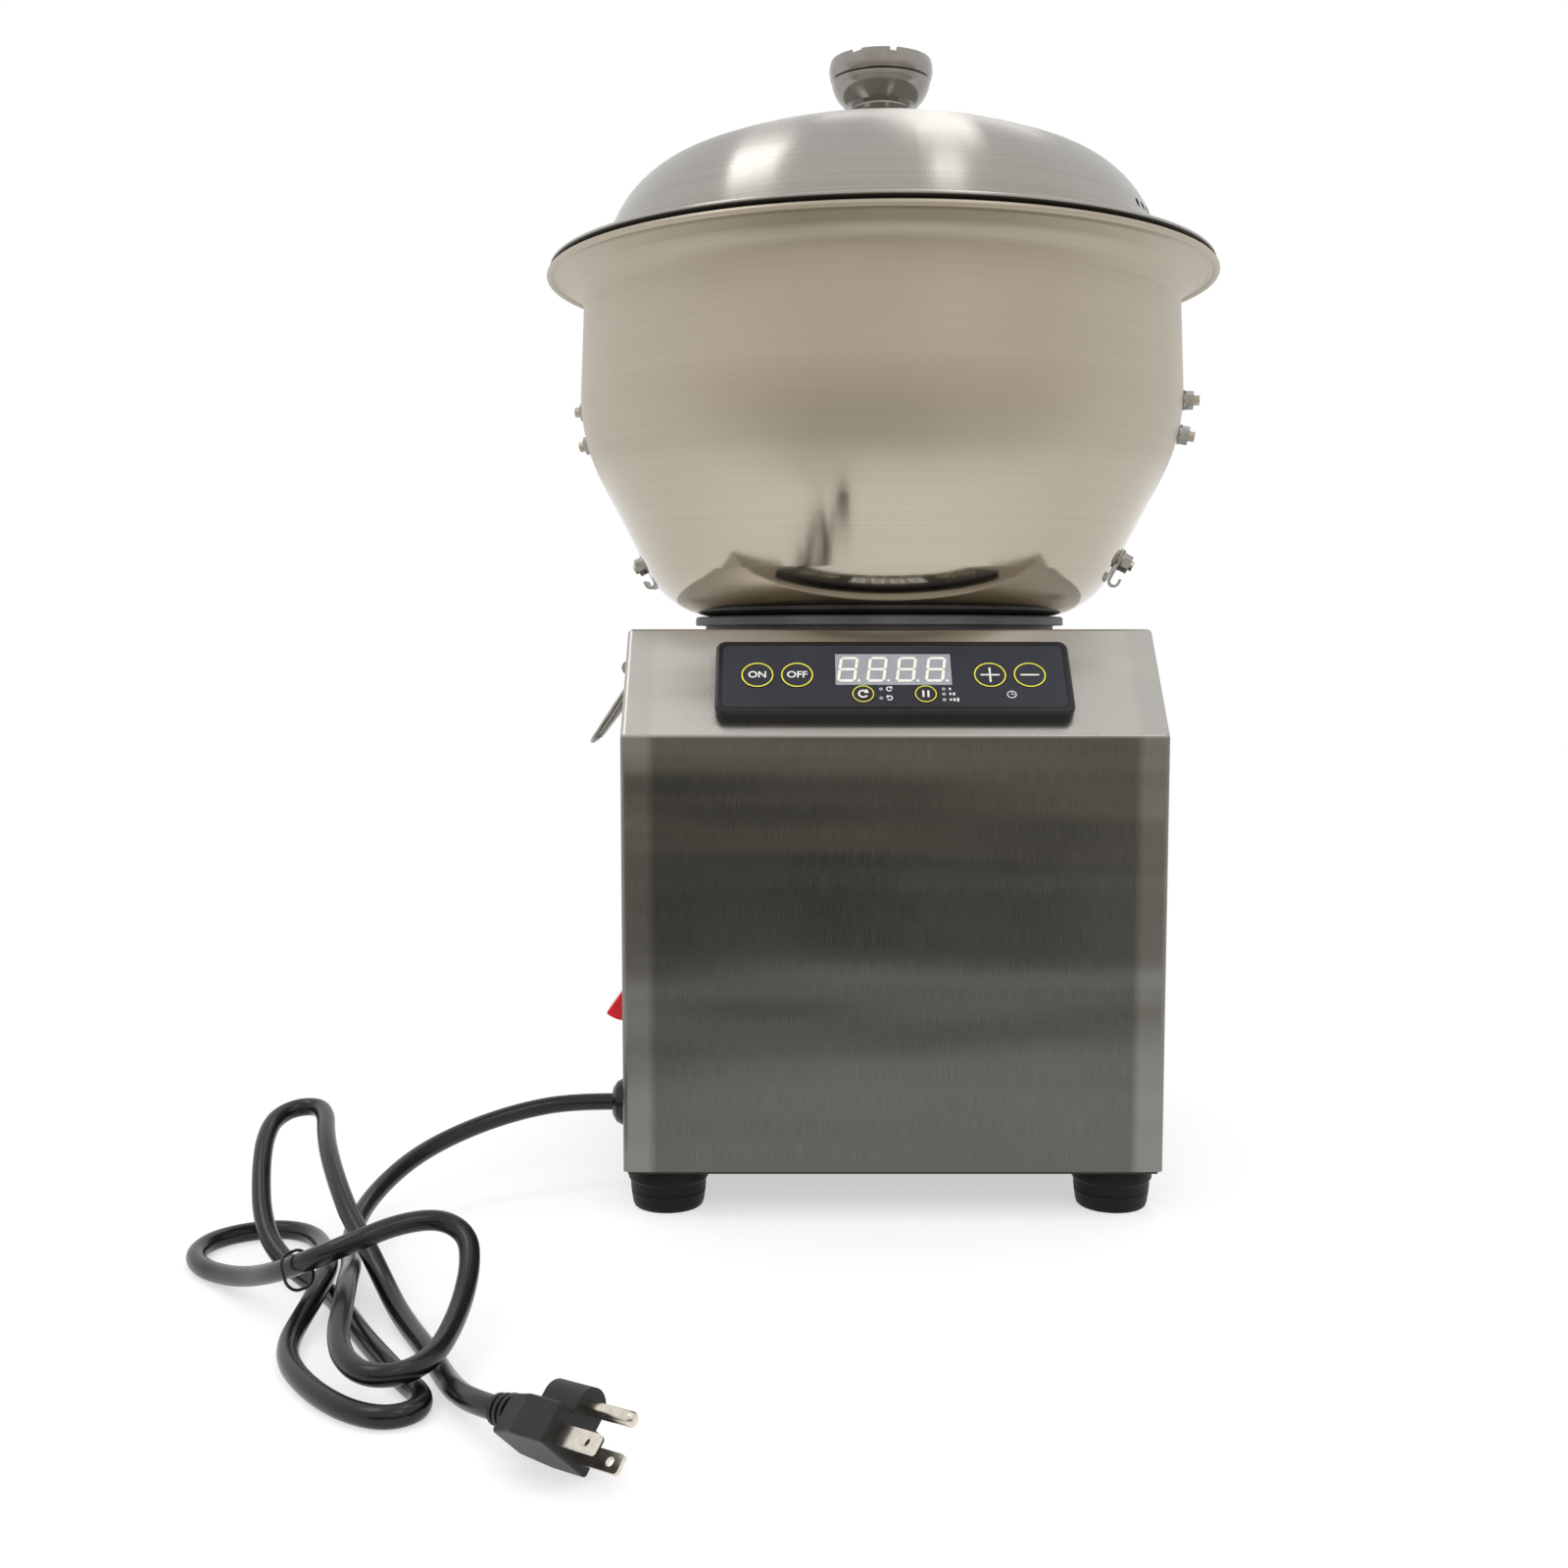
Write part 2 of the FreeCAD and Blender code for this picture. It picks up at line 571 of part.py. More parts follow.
wall_x = -HALF_WIDTH
openings = [
    slope_place(panel_hole), switch_block(wall_x - 1, wall_x + BEND_RADIUS, SLIDE_GAP),
    rod(GLAND_THREAD_RADIUS + HOLE_FIT, (wall_x - 1, GLAND_Y, GLAND_Z), (wall_x + 5, GLAND_Y, GLAND_Z)),
    rod(DOG_RADIUS + 3, (0, 0, TOP_Z - 5), (0, 0, TOP_Z + 1)),
]
openings += pillars(SEAT_SCREW_RADIUS + HOLE_FIT, seat_screw_places, TOP_Z - 5, TOP_Z + 1)
openings += pillars(PLATE_SCREW_RADIUS + HOLE_FIT, plate_screw_places, BASE_Z - 1, BASE_Z + 3)
for y, z in rivet_places:
    openings += both_sides(rod(rivet_radius + HOLE_FIT, (wall_x - 1, y, z), (wall_x + 5, y, z)))
for k in range(VENT_COUNT):
    low = BASE_Z + VENT_HEIGHT + k * VENT_PITCH
    openings += both_sides(block((-VENT_LENGTH * 1.5, BACK_Y - 5, low),
                                 (-VENT_LENGTH * 0.5, BACK_Y + 1, low + VENT_WIDTH)))
save("housing_shell", one(shell.cut(openings)))

# Bowl seat: a moulded two-step disc screwed on the housing's top, with a sunk warming plate.
recess_z = BOWL_Z - HEATER_RECESS
seat = turned([
    (SEAT_EYE_RADIUS, TOP_Z), (SEAT_RADIUS - SEAT_STEP, TOP_Z),
    (SEAT_RADIUS - SEAT_STEP, TOP_Z + SEAT_LOWER), (SEAT_RADIUS, TOP_Z + SEAT_LOWER),
    (SEAT_RADIUS, BOWL_Z - 0.8), (SEAT_RADIUS - 0.8, BOWL_Z),
    (HEATER_OUTER + SLIDE_GAP, BOWL_Z), (HEATER_OUTER + SLIDE_GAP, recess_z),
    (HEATER_INNER - SLIDE_GAP, recess_z), (HEATER_INNER - SLIDE_GAP, BOWL_Z), (SEAT_EYE_RADIUS, BOWL_Z),
])
seat_head_z = TOP_Z + SEAT_LOWER
seat_holes = pillars(SEAT_SCREW_RADIUS + HOLE_FIT, seat_screw_places, TOP_Z - 1, BOWL_Z + 1)
seat_holes += pillars(SEAT_SCREW_RADIUS * 2 + HOLE_FIT, seat_screw_places, seat_head_z, BOWL_Z + 1)
save("bowl_seat", one(seat.cut(seat_holes)))
save("heater_plate", ring(HEATER_OUTER, HEATER_INNER, (0, 0, recess_z), (0, 0, recess_z + HEATER_THICK)))
seat_screw_length = SEAT_LOWER + SHELL_SHEET + NUT_HEIGHT + 2
seat_screw = screw(SEAT_SCREW_RADIUS * 2, 2.4, SEAT_SCREW_RADIUS, seat_screw_length)
seat_nut = hexagon(NUT_FLATS - 1, (0, 0, -NUT_HEIGHT), (0, 0, 1), NUT_HEIGHT)
seat_nut = seat_nut.cut(rod(SEAT_SCREW_RADIUS + NUT_FIT, (0, 0, -NUT_HEIGHT), (0, 0, 0)))
save("seat_fasteners",
     *[place(seat_screw, (x, y, seat_head_z), (0, 0, -1)) for x, y in seat_screw_places],
     *[seat_nut.translated(V(x, y, TOP_Z - SHELL_SHEET)) for x, y in seat_screw_places])

# Control panel: black tray with a printed film, six keys, a digit display and lamps over a circuit board.
face_z = PANEL_PROUD - OVERLAY_THICK
overlay_width = PANEL_WIDTH - 2 * PANEL_BORDER
overlay_height = PANEL_HEIGHT - 2 * PANEL_BORDER
keys = {
    "key_on": (-KEY_OUTER_X, KEY_ROW, KEY_LARGE), "key_off": (-KEY_INNER_X, KEY_ROW, KEY_LARGE),
    "key_plus": (KEY_INNER_X, KEY_ROW, KEY_LARGE), "key_minus": (KEY_OUTER_X, KEY_ROW, KEY_LARGE),
    "key_mode": (-KEY_SMALL_X, KEY_SMALL_ROW, KEY_SMALL),
    "key_rest": (KEY_SMALL_X, KEY_SMALL_ROW, KEY_SMALL),
}
tray = rounded_plate(PANEL_WIDTH, PANEL_HEIGHT, PANEL_PROUD, PANEL_CORNER)
rim = [e for e in tray.Edges if all(v.Z > PANEL_PROUD - 0.01 for v in e.Vertexes)]
tray = tray.makeFillet(PANEL_BORDER / 2, rim)
tray = tray.fuse(rounded_plate(tail_width, tail_height, PANEL_TAIL, 1.5, -PANEL_TAIL))
hollow = rounded_plate(tail_width - 2 * PANEL_WALL, tail_height - 2 * PANEL_WALL,
                       PANEL_TAIL + face_z - FACE_THICK, 1.0, -PANEL_TAIL)
film_bed = rounded_plate(overlay_width, overlay_height, OVERLAY_THICK, PANEL_BORDER, face_z)
window = block((-DISPLAY_WIDTH / 2, DISPLAY_ROW - DISPLAY_HEIGHT / 2, 0),
               (DISPLAY_WIDTH / 2, DISPLAY_ROW + DISPLAY_HEIGHT / 2, PANEL_PROUD + 1))
face_holes = [rod(r + SLIDE_GAP, (x, y, 0), (x, y, PANEL_PROUD + 1)) for x, y, r in keys.values()]
face_holes += pillars(LAMP_RADIUS + 0.1, LAMP_PLACES, 0, PANEL_PROUD + 1) + [window]
save("panel_bezel", slope_place(one(tray.cut([hollow, film_bed] + face_holes))))
film = rounded_plate(overlay_width - 0.4, overlay_height - 0.4, OVERLAY_THICK, PANEL_BORDER - 0.2, face_z)
save("panel_overlay", slope_place(one(film.cut(face_holes))))

board_z = -PANEL_TAIL - BOARD_THICK
switch_top = PANEL_PROUD + KEY_PROUD - KEY_THICK - 6.5
board_pieces = [slope_place(rounded_plate(tail_width - 1, tail_height - 1, BOARD_THICK, 1.0, board_z))]
for name, (x, y, radius) in keys.items():
    key_top = PANEL_PROUD + KEY_PROUD
    stem_z = switch_top + KEY_TRAVEL + 0.15
    key = rod(radius, (x, y, key_top - KEY_THICK), (x, y, key_top))
    key = key.fuse(rod(KEY_STEM, (x, y, stem_z), (x, y, key_top - KEY_THICK)))
    save(name, slope_place(one(key)))
    half = SWITCH_SIZE / 2
    button = block((x - half, y - half, -PANEL_TAIL), (x + half, y + half, switch_top))
    board_pieces.append(slope_place(button))
save("control_board", *board_pieces)

module_top = PANEL_PROUD - 0.3
module = block((-DISPLAY_WIDTH / 2 + 0.25, DISPLAY_ROW - DISPLAY_HEIGHT / 2 + 0.25, -PANEL_TAIL),
               (DISPLAY_WIDTH / 2 - 0.25, DISPLAY_ROW + DISPLAY_HEIGHT / 2 - 0.25, module_top))
save("display_module", slope_place(module))


def bar_segment(x, y, length, upright):
    """One pointed bar of a digit, centred on (x, y), sheared by the digits' slant."""
    half = length / 2
    tip = half - DIGIT_STROKE / 2
    side = DIGIT_STROKE / 2
    outline = [(-half, 0), (-tip, side), (tip, side), (half, 0), (tip, -side), (-tip, -side)]
    corners = []
    for a, b in outline:
        dx, dy = (b, a) if upright else (a, b)
        corners.append(V(x + dx + DIGIT_SLANT * (y + dy - DISPLAY_ROW), y + dy, module_top))
    return Part.Face(Part.makePolygon(corners + corners[:1])).extrude(V(0, 0, SEGMENT_THICK))


segments = []
bar = DIGIT_WIDTH - DIGIT_STROKE
upright_bar = (DIGIT_HEIGHT - DIGIT_STROKE) / 2
for k in range(DIGIT_COUNT):
    digit_x = (k - (DIGIT_COUNT - 1) / 2) * DIGIT_PITCH - DIGIT_STROKE / 2
    for row in (-1, 0, 1):
        segments.append(bar_segment(digit_x, DISPLAY_ROW + row * upright_bar, bar - 0.3, False))
    for side in (-1, 1):
        for row in (-0.5, 0.5):
            segments.append(bar_segment(digit_x + side * bar / 2, DISPLAY_ROW + row * upright_bar,
                                        upright_bar - 0.3, True))
    dot = (digit_x + DIGIT_WIDTH / 2 + DIGIT_STROKE / 2, DISPLAY_ROW - upright_bar)
    segments += pillars(DIGIT_STROKE / 2, [dot], module_top, module_top + SEGMENT_THICK)
save("display_segments", *[slope_place(s) for s in segments])
lamps = pillars(LAMP_RADIUS, LAMP_PLACES, -PANEL_TAIL, PANEL_PROUD)
save("indicator_lamps", *[slope_place(lamp) for lamp in lamps])

# Rocker switch: a snap-in frame in the left wall with a rocker on a cross pivot.
pivot_x = wall_x - SWITCH_FLANGE / 2


def across_switch(radius, half_length):
    """A rod along the rocker's pivot."""
    return rod(radius, (pivot_x, ROCKER_Y - half_length, ROCKER_Z),
               (pivot_x, ROCKER_Y + half_length, ROCKER_Z))


switch_frame = switch_block(wall_x - SWITCH_FLANGE, wall_x, SWITCH_LIP)
switch_frame = switch_frame.fuse(switch_block(wall_x, wall_x + SWITCH_DEPTH, 0))
pivot_reach = SWITCH_WIDTH / 2 - 0.5
rocker_bed = across_switch(ROCKER_RADIUS + SLIDE_GAP, ROCKER_WIDTH / 2 + SLIDE_GAP)
pivot_bore = across_switch(ROCKER_PIN + RUN_FIT, pivot_reach)
save("switch_frame", one(switch_frame.cut([rocker_bed, pivot_bore])))
face_angle = math.tan(math.radians(ROCKER_ANGLE))
far = ROCKER_RADIUS + 1
rocker_side = [(ROCKER_RADIUS / 2, -far), (ROCKER_RADIUS / 2, far), (-ROCKER_REACH, far), (-ROCKER_REACH, 0),
               (-ROCKER_REACH - far * face_angle, -far)]
rocker_face = Part.Face(Part.makePolygon([V(pivot_x + a, ROCKER_Y - ROCKER_WIDTH / 2, ROCKER_Z + b)
                                          for a, b in rocker_side + rocker_side[:1]]))
rocker = rocker_face.extrude(V(0, ROCKER_WIDTH, 0)).common(across_switch(ROCKER_RADIUS, ROCKER_WIDTH / 2))
save("switch_rocker", one(rocker.fuse(across_switch(ROCKER_PIN, pivot_reach - SLIDE_GAP))))

# Cord gland: a domed threaded gland through the left wall, held by a nut inside.
gland_end = wall_x - GLAND_PROUD
gland = turned([(0, -GLAND_THREAD_LENGTH), (GLAND_THREAD_RADIUS, -GLAND_THREAD_LENGTH),
                (GLAND_THREAD_RADIUS, 0), (GLAND_RADIUS, 0), (GLAND_RADIUS, GLAND_PROUD * 0.55),
                (GLAND_RADIUS - 1.2, GLAND_PROUD * 0.8), (GLAND_NOSE_RADIUS + 1, GLAND_PROUD),
                (0, GLAND_PROUD)])
save("cord_gland", place(gland, (wall_x, GLAND_Y, GLAND_Z), (-1, 0, 0)))
gland_nut = hexagon(GLAND_NUT_FLATS, (0, 0, 0), (0, 0, 1), GLAND_NUT_THICK)
gland_nut = gland_nut.cut(rod(GLAND_THREAD_RADIUS + NUT_FIT, (0, 0, 0), (0, 0, GLAND_NUT_THICK)))
save("gland_nut", place(gland_nut, (wall_x + SHELL_SHEET, GLAND_Y, GLAND_Z), (1, 0, 0)))

# Mains cord: it leaves the gland, drops to the floor, is folded into tied loops and ends in the plug.
CORD_ROUTE = [
    (-149, -90, 39.8), (-171, -99, 38), (-193, -112, 33.5), (-211, -130, 28), (-222, -151, 22),
    (-228, -174, 16), (-227, -198, 12), (-221, -221, 11), (-216, -241, 15), (-212, -262, 18.5),
    (-208, -284, 18), (-205, -304, 15.5), (-199, -321, 13.5), (-188, -333, 12.5), (-175, -331, 12.5),
    (-168, -316, 13), (-166, -298, 15), (-165, -281, 19), (-165, -266, 26), (-168, -254, 33),
    (-179, -248, 37.5), (-194, -254, 37.5), (-208, -265, 34.5), (-223, -268, 29), (-239, -257, 20),
    (-255, -239, 11), (-271, -223, 5.5), (-285, -210, 4), (-293, -195, 4), (-291, -179, 4),
    (-280, -168, 4), (-265, -164, 4), (-251, -170, 4), (-242, -185, 4.5), (-236, -203, 6),
    (-230, -221, 10.8), (-226, -238, 13.2), (-225, -254, 12), (-227, -269, 7.5), (-228, -284, 4.5),
    (-224, -300, 4), (-215, -316, 4), (-203, -331, 4), (-190, -342, 4), (-178, -346, 4),
    (-169, -340, 4), (-170, -329, 4), (-179, -317, 4), (-191, -298, 4), (-203, -278, 4),
    (-214, -257, 4), (-225, -238, 4), (-237, -225, 4.5), (-249, -215, 8), (-258, -206, 14),
    (-264, -195, 21.5), (-268, -183, 29), (-271, -171, 36.5), (-273, -159, 42.5), (-273, -146, 47),
    (-267, -136, 49.5), (-256, -135, 50), (-250, -146, 48.5), (-246, -162, 46), (-240, -180, 42),
    (-232, -198, 35.5), (-223, -215, 27.5), (-211.6, -230.8, 19.2), (-203, -243, 11), (-195, -257, 6),
    (-186, -273, 4), (-177.5, -289, 4), (-169.8, -305, 4.2), (-163.3, -320, 5.2), (-157.3, -334.8, 8.2),
    (-149.2, -349.3, 11.3), (-140.1, -357.2, 12.6),
]
LEAD_COUNT = 8             # the loops start half way along this run
LOOPS_COUNT = 69           # and end half way along this one
cord_points = [V(gland_end, GLAND_Y, GLAND_Z)] + [V(*p) for p in CORD_ROUTE]
lead_cut = (cord_points[LEAD_COUNT] + cord_points[LEAD_COUNT + 1]) * 0.5
loops_cut = (cord_points[LOOPS_COUNT] + cord_points[LOOPS_COUNT + 1]) * 0.5
cord_radii = easy_radii(cord_points)
stretches = {
    "cord_lead": (cord_points[:LEAD_COUNT + 1] + [lead_cut], cord_radii[:LEAD_COUNT]),
    "cord_loops": ([lead_cut] + cord_points[LEAD_COUNT + 1:LOOPS_COUNT + 1] + [loops_cut],
                   cord_radii[LEAD_COUNT:LOOPS_COUNT]),
    "cord_tail": ([loops_cut] + cord_points[LOOPS_COUNT + 1:], cord_radii[LOOPS_COUNT:]),
}
centre_line = []
cord_length = 0.0
for name, (points, radii) in stretches.items():
    solid = tube(points, CORD_DIAMETER / 2, radii)
    line = Part.Wire(rounded_edges(points, radii))
    ideal = math.pi * CORD_DIAMETER ** 2 / 4 * line.Length
    cord_length += line.Length
    centre_line += line.discretize(Distance=2.0)
    print(f"{name}: length {line.Length:.0f}, volume over ideal {solid.Volume / ideal:.4f}")
    save(name, solid)
print("cord radii", [round(r) for r in cord_radii])
least = min((a - b).Length for i, a in enumerate(centre_line) for b in centre_line[i + 16:])
print(f"cord length {cord_length:.0f}, least gap of the cord to itself {least - CORD_DIAMETER:.2f}")

# Wire tie hung round the upper strand of the loops.
TIE_COUNT = 25             # it hangs half way along this run
tie_at = (cord_points[TIE_COUNT - 1] + cord_points[TIE_COUNT]) * 0.5
along = cord_points[TIE_COUNT] - cord_points[TIE_COUNT - 1]
across = V(-along.y, along.x, 0).normalize() * TIE_HALF_WIDTH
drop = along.cross(across).normalize()
drop = drop if drop.z < 0 else drop * -1
tie_top = CORD_DIAMETER / 2 + TIE_RADIUS + 2 * SEAT_GAP
tie_ring = [tie_at - across - drop * tie_top, tie_at + across - drop * tie_top,
            tie_at + across + drop * TIE_DROP, tie_at - across + drop * TIE_DROP]
tie_start = (tie_ring[3] + tie_ring[0]) * 0.5
tie_path = [tie_start] + tie_ring + [tie_start]
save("cord_tie", tube(tie_path, TIE_RADIUS, [TIE_HALF_WIDTH * 0.8] * 4))

# Plug: moulded body with a ribbed relief, two blades and a round earth pin, lying rolled on the floor.
plug_turn = FreeCAD.Rotation(Z_AXIS, PLUG_YAW).multiply(FreeCAD.Rotation(Y_AXIS, PLUG_PITCH))
plug_turn = plug_turn.multiply(FreeCAD.Rotation(X_AXIS, PLUG_ROLL))


def plug_place(shape):
    moved = shape.copy()
    moved.Placement = FreeCAD.Placement(cord_points[-1] + plug_turn.multVec(X_AXIS) * PLUG_GAP, plug_turn)
    return moved


front_x = PLUG_RELIEF_LENGTH + PLUG_BODY_LENGTH
rib = PLUG_RELIEF_LENGTH / 7
relief_outline = [(0, 0), (CORD_DIAMETER / 2 + 0.8, 0)]
for k in range(3):
    outer = PLUG_RELIEF_RADIUS - 0.5 * (2 - k)
    relief_outline += [(outer, (2 * k + 0.4) * rib), (outer, (2 * k + 1.4) * rib),
                       (outer - 0.9, (2 * k + 1.4) * rib),
                       (outer - 0.9, (2 * k + 2.2) * rib)]
relief_outline += [(PLUG_RELIEF_RADIUS, 6.5 * rib), (PLUG_RELIEF_RADIUS, PLUG_RELIEF_LENGTH + 3),
                   (0, PLUG_RELIEF_LENGTH + 3)]
relief = place(turned(relief_outline), (0, 0, 0), (1, 0, 0))
half = PLUG_BODY_WIDTH / 2
body_mid = PLUG_RELIEF_LENGTH + PLUG_BODY_LENGTH * 0.45
plan = [(PLUG_RELIEF_LENGTH, -half * 0.62), (body_mid, -half), (front_x, -half),
        (front_x, half), (body_mid, half), (PLUG_RELIEF_LENGTH, half * 0.62)]
body = Part.Face(Part.makePolygon([V(x, y, PLUG_BODY_LOW) for x, y in plan + plan[:1]]))
body = body.extrude(V(0, 0, PLUG_BODY_HIGH - PLUG_BODY_LOW))
body = body.makeFillet(PLUG_EDGE, body.Edges)
tower = rod(PLUG_TOWER_RADIUS, (front_x - PLUG_TOWER_LENGTH, 0, PIN_RISE), (front_x, 0, PIN_RISE))
tower = tower.fuse(block((front_x - PLUG_TOWER_LENGTH, -PLUG_TOWER_RADIUS, 0),
                         (front_x, PLUG_TOWER_RADIUS, PIN_RISE)))
save("plug_body", plug_place(one(relief.fuse([body, tower]))))
blades = []
for side in (-1, 1):
    y = side * BLADE_SPACING / 2
    blade = block((front_x, y - BLADE_THICK / 2, BLADE_DROP - BLADE_WIDTH / 2),
                  (front_x + BLADE_LENGTH, y + BLADE_THICK / 2, BLADE_DROP + BLADE_WIDTH / 2))
    eye_x = front_x + BLADE_LENGTH - 4.5
    blade = blade.cut(rod(1.55, (eye_x, y - 2, BLADE_DROP), (eye_x, y + 2, BLADE_DROP)))
    tip = [e for e in blade.Edges if all(v.X > front_x + BLADE_LENGTH - 0.01 for v in e.Vertexes)
           and abs(e.tangentAt(e.FirstParameter).y) > 0.9]
    blades.append(plug_place(blade.makeFillet(1.2, tip)))
pin = rod(PIN_RADIUS, (front_x, 0, PIN_RISE), (front_x + PIN_LENGTH, 0, PIN_RISE))
pin_tip = [e for e in pin.Edges if e.BoundBox.XMin > front_x + PIN_LENGTH - 0.01]
save("plug_pins", *blades, plug_place(pin.makeFillet(PIN_RADIUS * 0.75, pin_tip)))

# Toggle latches: riveted plate with two ears, a bent lever on a pin, and a wire bail on the lever.
pivot_out = wall_x - LATCH_PIVOT_OUT
ear_y = LEVER_WIDTH / 2 + SLIDE_GAP
plate_low = latch_pivot_z - LEVER_LENGTH
plate_high = latch_pivot_z + 14
latch_plate = block((wall_x - LATCH_SHEET, -LATCH_WIDTH / 2, plate_low),
                    (wall_x, LATCH_WIDTH / 2, plate_high))
ear_reach = LATCH_PIN_RADIUS + 2.2
for side in (-1, 1):
    near, out = sorted((side * ear_y, side * (ear_y + LATCH_SHEET)))
    ear = block((pivot_out, near, latch_pivot_z - ear_reach), (wall_x, out, latch_pivot_z + ear_reach))
    ear = ear.fuse(rod(ear_reach, (pivot_out, near, latch_pivot_z), (pivot_out, out, latch_pivot_z)))
    latch_plate = latch_plate.fuse(ear)
pin_span = ear_y + LATCH_SHEET


def across_latch(radius, half_length, z):
    """A rod along the latch's width at a height."""
    return rod(radius, (pivot_out, -half_length, z), (pivot_out, half_length, z))


plate_holes = [rod(rivet_radius + HOLE_FIT, (wall_x - 5, y, z), (wall_x + 5, y, z)) for y, z in rivet_places]
plate_holes.append(across_latch(LATCH_PIN_RADIUS + RUN_FIT, pin_span, latch_pivot_z))
save("latch_plates", *both_sides(one(latch_plate.cut(plate_holes))))
grip = LATCH_SHEET + SHELL_SHEET
rivet = rod(rivet_radius + 1.4, (0, 0, 0), (0, 0, 1.2))
rivet = one(rivet.fuse([rod(rivet_radius, (0, 0, -grip), (0, 0, 0)),
                        rod(rivet_radius + 1, (0, 0, -grip - 1.5), (0, 0, -grip))]))
rivets = []
for y, z in rivet_places:
    rivets += both_sides(place(rivet, (wall_x - LATCH_SHEET, y, z), (-1, 0, 0)))
save("latch_rivets", *rivets)

lean = math.radians(BAIL_LEAN)
bail_z = latch_pivot_z - BAIL_OFFSET
foot_x = pivot_out - math.sin(lean) * (BAIL_LENGTH - 3 * BAIL_WIRE) + BAIL_WIRE
foot_z = bail_z - math.cos(lean) * (BAIL_LENGTH - 3 * BAIL_WIRE) - BAIL_WIRE
lever_side = [(pivot_out, latch_pivot_z), (pivot_out, bail_z - 6), (foot_x, foot_z)]
lever_bar = Part.Wire(rounded_edges([V(x, 0, z) for x, z in lever_side], [6.0]))
strip = [V(pivot_out + a * LATCH_SHEET / 2, b * LEVER_WIDTH / 2, latch_pivot_z)
         for a, b in ((-1, -1), (1, -1), (1, 1), (-1, 1), (-1, -1))]
lever = lever_bar.makePipeShell([Part.makePolygon(strip)], True, False)
lever = lever.fuse([across_latch(LATCH_PIN_RADIUS + 1.2, LEVER_WIDTH / 2, latch_pivot_z),
                    across_latch(LATCH_PIN_RADIUS + 1.2, LEVER_WIDTH / 2, bail_z),
                    across_latch(LATCH_PIN_RADIUS, pin_span, latch_pivot_z)])
lever = one(lever.cut(across_latch(BAIL_WIRE + RUN_FIT, LEVER_WIDTH, bail_z)))
bail_pivot = V(pivot_out, 0, bail_z)
aside = V(0, BAIL_WIDTH / 2, 0)
down = V(-math.sin(lean), 0, -math.cos(lean)) * BAIL_LENGTH
bail_points = [bail_pivot + V(0, 2, 0), bail_pivot + aside, bail_pivot + aside + down,
               bail_pivot - aside + down, bail_pivot - aside, bail_pivot - V(0, 2, 0)]
bail = tube(bail_points, BAIL_WIRE, [3.0, 5.0, 5.0, 3.0])
for side, lever_piece, bail_piece in zip(("left", "right"), both_sides(lever), both_sides(bail)):
    save(f"latch_lever_{side}", lever_piece)
    save(f"latch_bail_{side}", bail_piece)

# Drive deck: a plate on four posts that carries the motor and the spindle cartridge.
belt_top = DECK_Z - BELT_DROP
belt_low = belt_top - BELT_HEIGHT
deck = block((DECK_LEFT, -DECK_DEPTH / 2, DECK_Z), (DECK_RIGHT, DECK_DEPTH / 2, DECK_TOP))
cartridge_places = circle_places((CARTRIDGE_RADIUS + CARTRIDGE_FLANGE) / 2, (75, 165, 255, 345))
motor_places = circle_places(MOTOR_RADIUS * 0.75, (30, 120, 210, 300), MOTOR_X, MOTOR_Y)
deck_holes = pillars(PLATE_SCREW_RADIUS + HOLE_FIT, post_places + cartridge_places + motor_places,
                     DECK_Z, DECK_TOP)
deck_holes += [rod(SPINDLE_RADIUS + 3, (0, 0, DECK_Z), (0, 0, DECK_TOP)),
               rod(MOTOR_SHAFT_RADIUS + 4, (MOTOR_X, MOTOR_Y, DECK_Z), (MOTOR_X, MOTOR_Y, DECK_TOP))]
save("drive_deck", one(deck.cut(deck_holes)))
screw_bite = 10.0
tapped = PLATE_SCREW_RADIUS + NUT_FIT
posts = pillars(POST_RADIUS, post_places, BASE_Z, DECK_Z)
post_bores = pillars(tapped, post_places, DECK_Z - screw_bite - 2, DECK_Z)
save("deck_posts", *[post.cut(bore) for post, bore in zip(posts, post_bores)])
down_screw = screw(PLATE_SCREW_RADIUS * 2, 2.4, PLATE_SCREW_RADIUS, DECK_THICK + screw_bite)
up_screw = screw(PLATE_SCREW_RADIUS * 2, 2.4, PLATE_SCREW_RADIUS, DECK_THICK + CARTRIDGE_FLANGE_THICK * 0.8)
save("deck_screws", *[place(down_screw, (x, y, DECK_TOP), (0, 0, -1)) for x, y in post_places],
     *[up_screw.translated(V(x, y, DECK_Z)) for x, y in cartridge_places + motor_places])

# Spindle cartridge: a cast tube with a flange at each end and a ball bearing pressed into each mouth.
cartridge_top = TOP_Z - SHELL_SHEET
upper_bearing = cartridge_top - BEARING_WIDTH - 2
bearing_bore = BEARING_RADIUS + 0.03
cartridge = turned([
    (BEARING_RADIUS - 4, DECK_TOP + BEARING_WIDTH), (bearing_bore, DECK_TOP + BEARING_WIDTH),
    (bearing_bore, DECK_TOP), (CARTRIDGE_FLANGE, DECK_TOP),
    (CARTRIDGE_FLANGE, DECK_TOP + CARTRIDGE_FLANGE_THICK),
    (CARTRIDGE_RADIUS, DECK_TOP + CARTRIDGE_FLANGE_THICK),
    (CARTRIDGE_RADIUS, cartridge_top - CARTRIDGE_FLANGE_THICK),
    (CARTRIDGE_FLANGE, cartridge_top - CARTRIDGE_FLANGE_THICK), (CARTRIDGE_FLANGE, cartridge_top),
    (bearing_bore, cartridge_top), (bearing_bore, upper_bearing), (BEARING_RADIUS - 4, upper_bearing),
])
cartridge_holes = pillars(tapped, cartridge_places, DECK_TOP, DECK_TOP + CARTRIDGE_FLANGE_THICK)
save("spindle_cartridge", one(cartridge.cut(cartridge_holes)))
